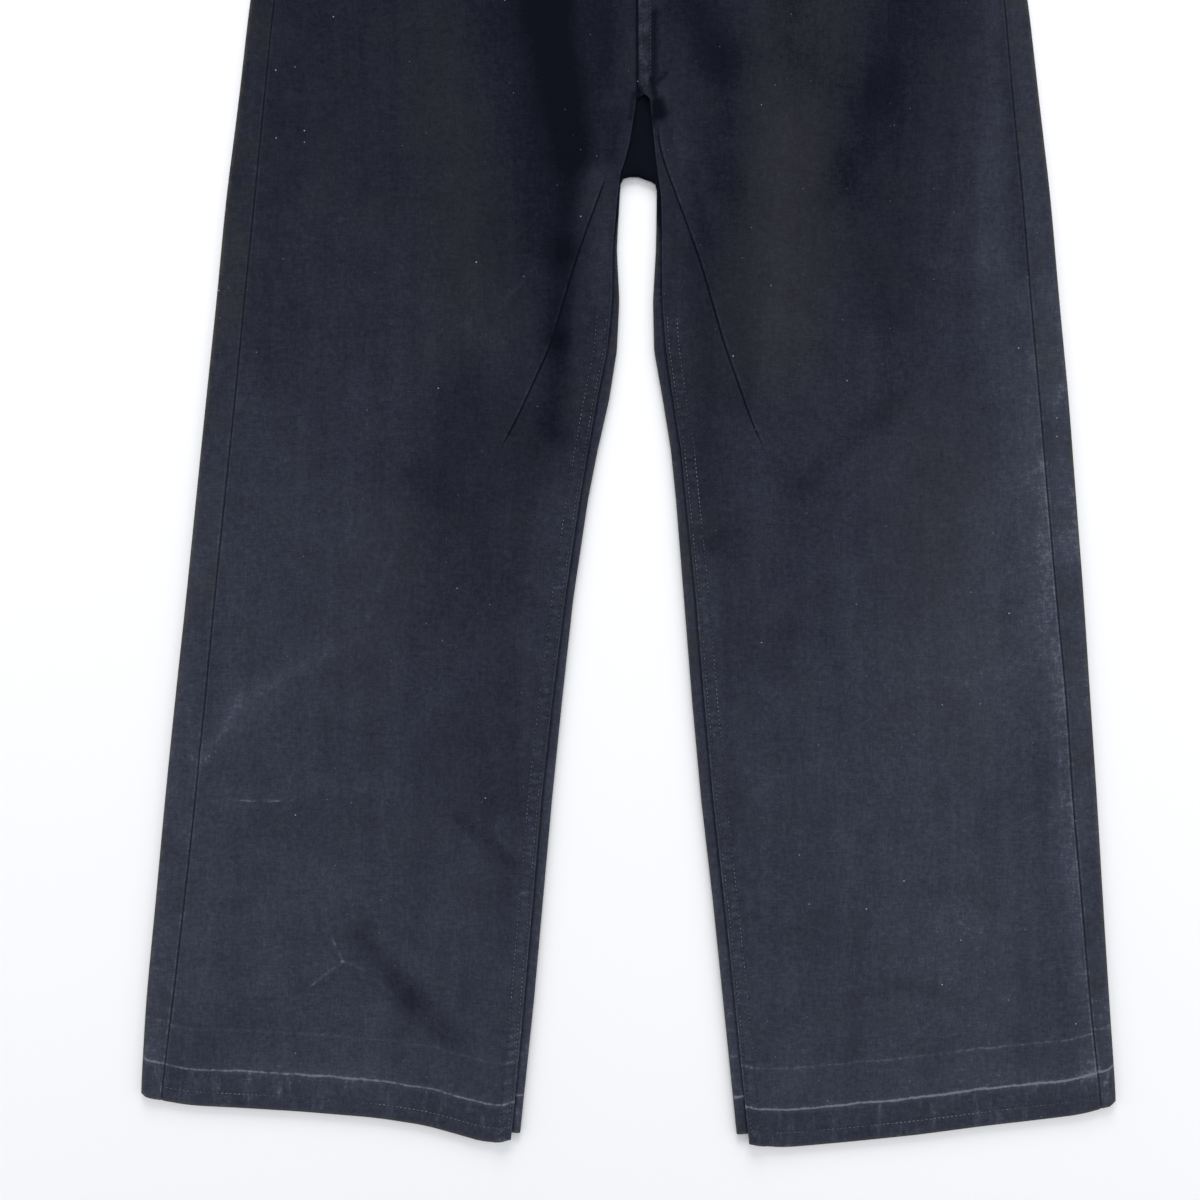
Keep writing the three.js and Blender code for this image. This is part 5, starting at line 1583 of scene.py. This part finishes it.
def waistband():
    """The waistband: one doubled strip from its under end, round both side folds, to its lapping end, with
    the buttonhole left open in it."""
    radius = BAND_FACE / 2
    fold = WAIST_HALF_BAND - radius
    left, right = CENTRE_X - fold, CENTRE_X + fold
    turn = np.linspace(0, 1, 13)[1:-1]
    hole_start = BUTTONHOLE["x"] - BUTTONHOLE["long"] / 2
    hole_end = BUTTONHOLE["x"] + BUTTONHOLE["long"] / 2
    lap = np.array([BAND_UNDER_END, 29, 24, hole_end, 16, 12, 8, 4, hole_start, -1, -3, BAND_LAP_END])
    columns = {
        "under_end": np.linspace(BAND_UNDER_END, left, 64),
        "left_fold": turn,
        "back": np.linspace(left, right, 110),
        "right_fold": turn,
        "lapping": np.append(np.linspace(right, BAND_UNDER_END + 2, 52), lap),
    }
    half = lerp(WAIST_HALF_BAND, WAIST_HALF_TOP, BAND_UPS)
    y = lerp(BAND_Y, WAIST_Y, BAND_UPS)

    def grid(depth):
        """The band's places this deep in its cloth; each fold is a half circle from -90 to 90 degrees."""
        parts = []
        for part, at in columns.items():
            at = at[None, :]
            if part in ("left_fold", "right_fold"):
                outward = -1.0 if part == "left_fold" else 1.0
                angle = outward * math.pi * (at - 0.5)
                away = half - radius + (radius - depth) * np.cos(angle)
                z = radius + (radius - depth) * np.sin(angle)
                parts.append(np.stack(np.broadcast_arrays(CENTRE_X + outward * away, y, z), -1))
            elif part == "back":
                parts.append(band_place(at, BAND_UPS, "back", band_under_raise(at) + depth))
            else:
                face = band_front_face(at) if part == "lapping" else BAND_FACE
                pressed = face - band_pressed(BAND_UPS, at)
                parts.append(band_place(at, BAND_UPS, "front", pressed - depth))
        return np.concatenate(parts, 1)

    face, inside = grid(0.0), grid(BAND_CLOTH)
    places = np.concatenate(list(columns.values()))
    is_lap = np.arange(len(places)) >= len(places) - len(lap)
    in_hole = is_lap & (places > hole_start) & (places <= hole_end)
    holds = ~((BAND_UPS[:-1] == BUTTONHOLE_UPS[0]) & in_hole[None, :-1])
    from_edge = np.minimum(BAND_UPS, 1 - BAND_UPS) * (WAIST_Y - BAND_Y)
    piece = wall("waistband_cloth", face, inside, holds, from_edge=from_edge)
    finish_piece(piece, PLAIN_COTTON, "black_cotton", "waistband")
    return piece, cloth_area(face, holds)


def band_rows():
    """The two rows of stitches near the waistband's edges, on its front and its back."""
    fold = WAIST_HALF_BAND - BAND_FACE / 2
    lapping = np.linspace(BAND_LAP_END + 2, CENTRE_X + fold, 260)
    under = np.linspace(CENTRE_X - fold, BAND_LAP_END - 1, 260)
    behind = np.linspace(CENTRE_X - fold, CENTRE_X + fold, 400)
    edge = BAND_STITCH / (WAIST_Y - BAND_Y)
    front_paths, back_paths = [], []
    for up in (edge, 1 - edge):
        for x, face in ((lapping, band_front_face(lapping)), (under, BAND_FACE)):
            front_paths.append(band_place(x, up, "front", face - band_pressed(up, x)))
        back_paths.append(band_place(behind, up, "back", band_under_raise(behind)))
    threads("waistband_stitches_front", along_paths(*front_paths))
    threads("waistband_stitches_back", along_paths(*back_paths), under=True)


def belt_loop(name, middle, layer):
    """A belt loop along the waistband, arched over the front or flat under the back, with a row of stitches
    down each side and a bar of close ones across each end."""
    under = layer == "back"
    end = 0.04 if under else 0.02
    ups = np.linspace(end, 1 - end, 26)[:, None]
    across = np.linspace(-1, 1, 11)[None, :]

    def height(up, side):
        """0 under the back; in front an arch over the band, with its edges rolled in."""
        if under:
            return 0 * (up + side)
        from_edge = (1 - np.abs(side)) * LOOP_HALF
        arch = BAND_FACE + SEAM_GAP + CLOTH + LOOP_ARCH * step(0.05, 0.3, np.minimum(up, 1 - up))
        return arch - sunk("loop_edge", from_edge) - sunk("loop_row", from_edge - LOOP_STITCH)

    def place(up, side, depth=0.0):
        z = height(up, side) + (depth if under else -depth)
        return band_place(middle + side * LOOP_HALF, up, layer, z)

    face = place(ups, across)
    from_edge = (1 - np.abs(across)) * LOOP_HALF
    piece = wall(f"belt_loop_{name}_cloth", face, place(ups, across, CLOTH), from_edge=from_edge)
    finish_piece(piece, PLAIN_COTTON, "black_cotton", f"belt_loop_{name}")
    row = 1 - LOOP_STITCH / LOOP_HALF
    rows = along_paths(place(ups[:, 0], -row), place(ups[:, 0], row))
    x = middle + np.linspace(-0.85, 0.85, 18) * LOOP_HALF
    bars = []
    for bar in LOOP_BARS:
        bars.append(satin(*(band_place(x, up, layer, height(up, 0 * x)) for up in bar)))
    stitches = threads(f"belt_loop_{name}_stitches", rows, *bars, under=under)
    return piece, cloth_area(face), stitches


def pocket_facing(side):
    """The cloth inside a front pocket's mouth: rows from under the side seam to a curve past the mouth."""
    inward = INWARD[side]
    top, low = BAND_Y - 1, BAND_Y - MOUTH_DEPTH - FACING_PAST
    v = np.linspace(0, 1, 40)[:, None]
    u = np.linspace(0, 1, 48)[None, :]
    seam_y = lerp(low, top, v)
    seam_x = read(OUTER[side], "seam", seam_y) - inward * FACING_UNDER
    middle = read(OUTER[side], "seam", BAND_Y - MOUTH_DEPTH)
    curve_x = middle + inward * (MOUTH_REACH + FACING_PAST) * np.sqrt(1 - (1 - v) ** 2)
    curve_y = lerp(low, top - WAIST_DIP * 0.7, v)
    x, y = lerp(seam_x, curve_x, u), lerp(seam_y, curve_y, u)
    face = np.stack([x, y, FACING_BOTTOM + CLOTH + ruffled("facing", x, y) - RUFFLED["facing"][0]], -1)
    inside = np.stack([x, y, FACING_BOTTOM + 0 * x], -1)
    piece = wall(f"pocket_facing_{side}_cloth", face, inside, from_edge=20.0)
    finish_piece(piece, PLAIN_COTTON, "black_cotton", f"pocket_facing_{side}")
    return piece, cloth_area(face)


def pocket_place(side, u, v, inset=0.0):
    """A place on a back pocket, u across from -1 at its outer side to 1 and v up from its pointed end to
    its slanted mouth. inset moves it in from the outline."""
    p = POCKET
    low = p["top"] - p["height"] - p["tip"] * (1 - np.abs(u))
    high = p["top"] - p["slant"] * (u + 1) / 2
    half = lerp(p["low_half"], p["half"], v) - inset
    return POCKET_X[side] + INWARD[side] * u * half, lerp(low + inset, high - inset, v)


def under_path(x, y):
    """A row of stitches on the underside."""
    return np.stack(np.broadcast_arrays(x, y, UNDER_THREAD), -1)


def back_pocket(side):
    """A patch pocket on the seat, lying flat on the floor, with twin rows of stitches round it and along
    its mouth."""
    u = np.linspace(-1, 1, 41)[None, :]
    v = np.linspace(0, 1, 41)[:, None]
    x, y = pocket_place(side, u, v)
    face = np.stack([x, y, 0 * x], -1)
    inside = np.stack([x, y, 0 * x + CLOTH], -1)
    from_edge = np.minimum((1 - np.abs(u)) * POCKET["half"], np.minimum(v, 1 - v) * POCKET["height"])
    piece = wall(f"back_pocket_{side}_cloth", face, inside, from_edge=from_edge)
    finish_piece(piece, PLAIN_COTTON, "black_cotton", f"back_pocket_{side}")
    down, across = np.linspace(1, 0, 60), np.linspace(-1, 1, 80)
    paths = []
    for inset in POCKET_ROWS:
        for at in ((-1.0 + 0 * down, down), (1.0 + 0 * down, down), (across, 0 * across)):
            paths.append(under_path(*pocket_place(side, *at, inset)))
    for inset in POCKET_MOUTH_ROWS:
        paths.append(under_path(*pocket_place(side, 0.97 * across, 1.0, inset)))
    stitches = threads(f"back_pocket_{side}_stitches", along_paths(*paths), under=True)
    return piece, cloth_area(face), stitches


# Fastenings


def zip_fastener():
    """The zip under the fly: a woven tape, two rows of teeth and a slider, each tooth a small block."""
    y = np.linspace(FLY_BOTTOM_Y + 2, ZIP["top"], 60)[:, None]
    x = ZIP["x"] + np.linspace(0, ZIP["wide"], 9)[None, :]
    top = inner_edge_face(y) - ZIP["sunk"]
    face = np.stack(np.broadcast_arrays(x, y, top), -1)
    inside = np.stack(np.broadcast_arrays(x, y, top - ZIP["tape"]), -1)
    finish_piece(wall("zip_tape_cloth", face, inside), TAPE, "zip_tape", "zip")
    middle, pitch = ZIP["x"] + ZIP["wide"] / 2, TEETH["pitch"]
    teeth = []
    for way, shift in ((-1, 0.0), (1, pitch / 2)):
        at = np.arange(FLY_BOTTOM_Y + 6, ZIP["teeth_top"], pitch) + shift
        z = inner_edge_face(at) - ZIP["sunk"]
        teeth.append(np.stack([middle + way * TEETH["apart"] + 0 * at, at, z], 1))
    blocks("zip_teeth", np.concatenate(teeth), TEETH["half"])
    z = inner_edge_face(ZIP["slider"]) - ZIP["sunk"] / 2
    blocks("zip_slider", np.array([[middle, ZIP["slider"], z]]), SLIDER_HALF)


def blocks(name, middles, half):
    """Metal blocks with narrower tops, of these half sizes about their middles: three rings of four corners
    each."""
    corners = np.array([[-1, -1], [1, -1], [1, 1], [-1, 1]], float)
    rings = [np.insert(corners * grow, 2, z, axis=1) for grow, z in ((1, -1), (1, 0.3), (0.72, 1))]
    shape = np.concatenate(rings) * np.array(half)
    points = (middles[:, None] + shape[None]).reshape(-1, 3) * MM
    quads = [[3, 2, 1, 0], [8, 9, 10, 11]]
    for base in (0, 4):
        quads += [[base + k, base + (k + 1) % 4, base + 4 + (k + 1) % 4, base + 4 + k] for k in range(4)]
    faces = (np.arange(len(middles))[:, None, None] * 12 + np.array(quads)[None]).reshape(-1, 4)
    piece = solid(name, points, faces, np.ones(len(faces), bool))
    return finish_piece(piece, GUNMETAL, "button_metal")


def tack_button():
    """The tack button: a profile turned about its shank, with a rolled rim and a shallow dish."""
    base = BAND_LAP_FACE + SEAM_GAP
    shank = BAND_FACE + SEAM_GAP - base
    profile = table(
        "r z",
        (0, shank), (1.7, shank), (1.7, -0.05), (2.4, 0), (7.6, 0), (8.1, 0.12), (8.4, 0.5), (8.5, 1.0),
        (8.45, 1.6), (8.2, 2.1), (7.8, 2.36), (7.35, 2.4), (6.95, 2.25), (6.6, 1.94), (6.2, 1.76),
        (5.6, 1.66), (4.6, 1.64), (3.4, 1.68), (2.2, 1.74), (1.0, 1.78), (0, 1.78),
    )
    count, around = len(profile["r"]), 72
    turn = (np.arange(around) * 2 * math.pi / around)[None, :]
    r, z = np.maximum(profile["r"][:, None], 0.02), profile["z"][:, None] + base
    x, y = BUTTON["x"] + r * np.cos(turn), BUTTON["y"] + r * np.sin(turn)
    points = np.stack(np.broadcast_arrays(x, y, z), -1)
    i, j = np.meshgrid(np.arange(count - 1) * around, np.arange(around), indexing="ij")
    later = (j + 1) % around
    faces = np.stack([i + j, i + later, i + around + later, i + around + j], -1).reshape(-1, 4).tolist()
    ends = [list(range(around))[::-1], list(range((count - 1) * around, count * around))]
    piece = smooth_piece("button_metal", points, faces + ends)
    return finish_piece(piece, GUNMETAL, "button_metal", "button")


def buttonhole_stitches():
    """Close stitches round the buttonhole, from its cut edge out: rings that are nearly rectangles, by a
    power of the sine."""
    turn = np.linspace(0, 2 * math.pi, 110)
    squared = np.sign(np.sin(turn)) * np.abs(np.sin(turn)) ** 0.35
    rings = []
    for grow in (HOLE_STITCH["from"], HOLE_STITCH["to"]):
        x = BUTTONHOLE["x"] + (BUTTONHOLE["long"] / 2 + grow) * np.cos(turn)
        up = sum(BUTTONHOLE_UPS) / 2 + (BUTTONHOLE["wide"] / 2 + grow) * squared / (WAIST_Y - BAND_Y)
        rings.append(band_place(x, up, "front", BAND_LAP_FACE - band_pressed(up, x) + 0.02))
    threads("buttonhole_stitches", satin(*rings), radius=HOLE_STITCH["radius"])


# Sewing


def leg_rows(side):
    """The twin rows of an inseam, and a hem's row on the front and on the back."""
    inward = INWARD[side]
    low = HEM[side]["outer_y"]
    rows = np.arange(low + 1, INSEAM_TOP_Y, 1.0)
    _, inner = front_seams(side, rows)
    twin = [front_points(side, inner - inward * away, rows) for away in TWIN_ROWS]
    inseam = threads(f"inseam_stitches_{side}", along_paths(*twin))
    at = np.full(400, low + HEM_STITCH)
    outer, inner = front_seams(side, at)
    x = np.linspace(outer[0] + inward, inner[0] - inward, 400)
    hem = threads(f"hem_stitches_{side}", along_paths(front_points(side, x, at)))
    outer_x, inner_x, inner_y = row_ends(side, at + BACK_HEM_RISE)
    across = np.linspace(0.02, 0.98, 400)
    y = lerp(at + BACK_HEM_RISE, inner_y, across) - BACK_WAVE * np.minimum(0, hem_drop(side, at, across))
    behind = under_path(lerp(outer_x, inner_x, across), y)
    threads(f"back_hem_stitches_{side}", along_paths(behind), under=True)
    return [inseam, hem]


def mouth_rows(side):
    """Twin rows along a pocket mouth: its quarter round, moved out from the cut edge."""
    turn = np.linspace(0.06, 1.5, 200)
    middle = outer_line(side, "seam", BAND_Y - MOUTH_DEPTH)
    paths = []
    for away in TWIN_ROWS:
        x = middle + INWARD[side] * (MOUTH_REACH + away) * np.cos(turn)
        paths.append(front_points(side, x, BAND_Y - (MOUTH_DEPTH + away) * np.sin(turn)))
    return threads(f"pocket_mouth_stitches_{side}", along_paths(*paths))


def fly_rows():
    """The rise's twin rows, which meet in a point at the crotch, and the fly's, which run straight down and
    then turn in to the edge by a quarter of an ellipse."""
    edge = CENTRE_X - SEAM_GAP
    down = np.linspace(RISE_Y["top"], RISE_Y["point"], 96)
    paths = []
    for away, shift, start in RISE_ROWS:
        x = edge + away + shift * step(start, RISE_Y["point"], down)
        paths.append(front_points("right", x, down))
    t = np.linspace(0, 1, 120)
    turn = np.clip((t - FLY["straight"]) / (1 - FLY["straight"]), 0, 1) * math.pi / 2
    straight_y = lerp(FLY["top"], FLY["turn"], t / FLY["straight"])
    for away in FLY_ROWS:
        turned_x = edge + FLY["end"] + (away - FLY["end"]) * np.cos(turn)
        turned_y = FLY["turn"] - (away + FLY["deeper"]) * np.sin(turn)
        x = np.where(t < FLY["straight"], edge + away, turned_x)
        paths.append(front_points("right", x, np.where(t < FLY["straight"], straight_y, turned_y)))
    return threads("fly_stitches", along_paths(*paths))


def seat_rows():
    """The back's twin rows: above both yoke seams, and beside the centre seam."""
    paths = []
    across = np.linspace(0.03, 0.995, 240)
    for side in ("left", "right"):
        for away in TWIN_ROWS:
            outer_x = outer_line(side, "edge", YOKE_SIDE_Y + away)
            y = YOKE_SIDE_Y + away - YOKE_DROP * across
            paths.append(under_path(lerp(outer_x, CENTRE_X, across), y))
    y = np.linspace(SEAT_BOTTOM_Y, YOKE_SIDE_Y - YOKE_DROP - 1, 244)
    paths += [under_path(CENTRE_X + away, y) for away in CENTRE_ROWS]
    return threads("seat_stitches", along_paths(*paths), under=True)


seat_rows()
for side in ("left", "right"):
    rows = [*leg_rows(side), mouth_rows(side)]
    if side == "right":
        rows.append(fly_rows())
    piece, area = front(side)
    for part, cut in (("leg", "back"), ("yoke", "yoke")):
        piece, area = back(side, part)
    piece, area = pocket_facing(side)
    piece, area, rows = back_pocket(side)
piece, area = waistband()
band_rows()
buttonhole_stitches()
for layer, loops, under_it in (("back", BACK_LOOPS, "floor"), ("front", FRONT_LOOPS, "waistband_cloth")):
    for name, middle in loops.items():
        piece, area, rows = belt_loop(name, middle, layer)
zip_fastener()
tack_button()


# Floor, light and camera


def aim_at(direction):
    """The turn that points a lamp's or camera's -Z along a direction, with its +Y kept up."""
    return Vector(direction).to_track_quat("-Z", "Y").to_euler()


def pale_floor():
    """A large pale floor, just under the cloth."""
    bpy.ops.mesh.primitive_plane_add(size=FLOOR["size"], location=(0, 0, FLOOR["z"]))
    floor = bpy.context.object
    floor.name = "floor"
    material, tree, shader, here = new_material("pale_floor")
    tone = tree.blend(tree.noise(here, 1.3, 3.0), *FLOOR["tones"])
    tree.fill(shader, {"Base Color": tone, "Roughness": 0.7})
    floor.data.materials.append(material)


def studio_light():
    """Soft light from the waist side and both sides, in a bright room."""
    world = bpy.data.worlds.new("studio")
    bpy.context.scene.world = world
    world.use_nodes = True
    for name, value in STUDIO.items():
        world.node_tree.nodes["Background"].inputs[name].default_value = value
    for name, place, size, power in LAMPS:
        lamp = bpy.data.lights.new(name, "AREA")
        lamp.size = size
        lamp.energy = power
        holder = linked(name, lamp)
        holder.location = place
        holder.rotation_euler = aim_at(np.subtract(LAMPS_AIM, place))


def photo_camera():
    """Straight above the middle of the photograph's frame."""
    camera = bpy.data.cameras.new("photo_camera")
    camera.sensor_width = VIEW["sensor"]
    camera.lens = VIEW["lens"]
    height = VIEW["wide"] * VIEW["lens"] / VIEW["sensor"] + OUT_FOLD
    holder = linked("photo_camera", camera)
    holder.location = (VIEW["x"] * MM, VIEW["y"] * MM, height * MM)
    bpy.context.scene.camera = holder


pale_floor()
studio_light()
photo_camera()
bpy.context.scene.view_settings.view_transform = "Standard"
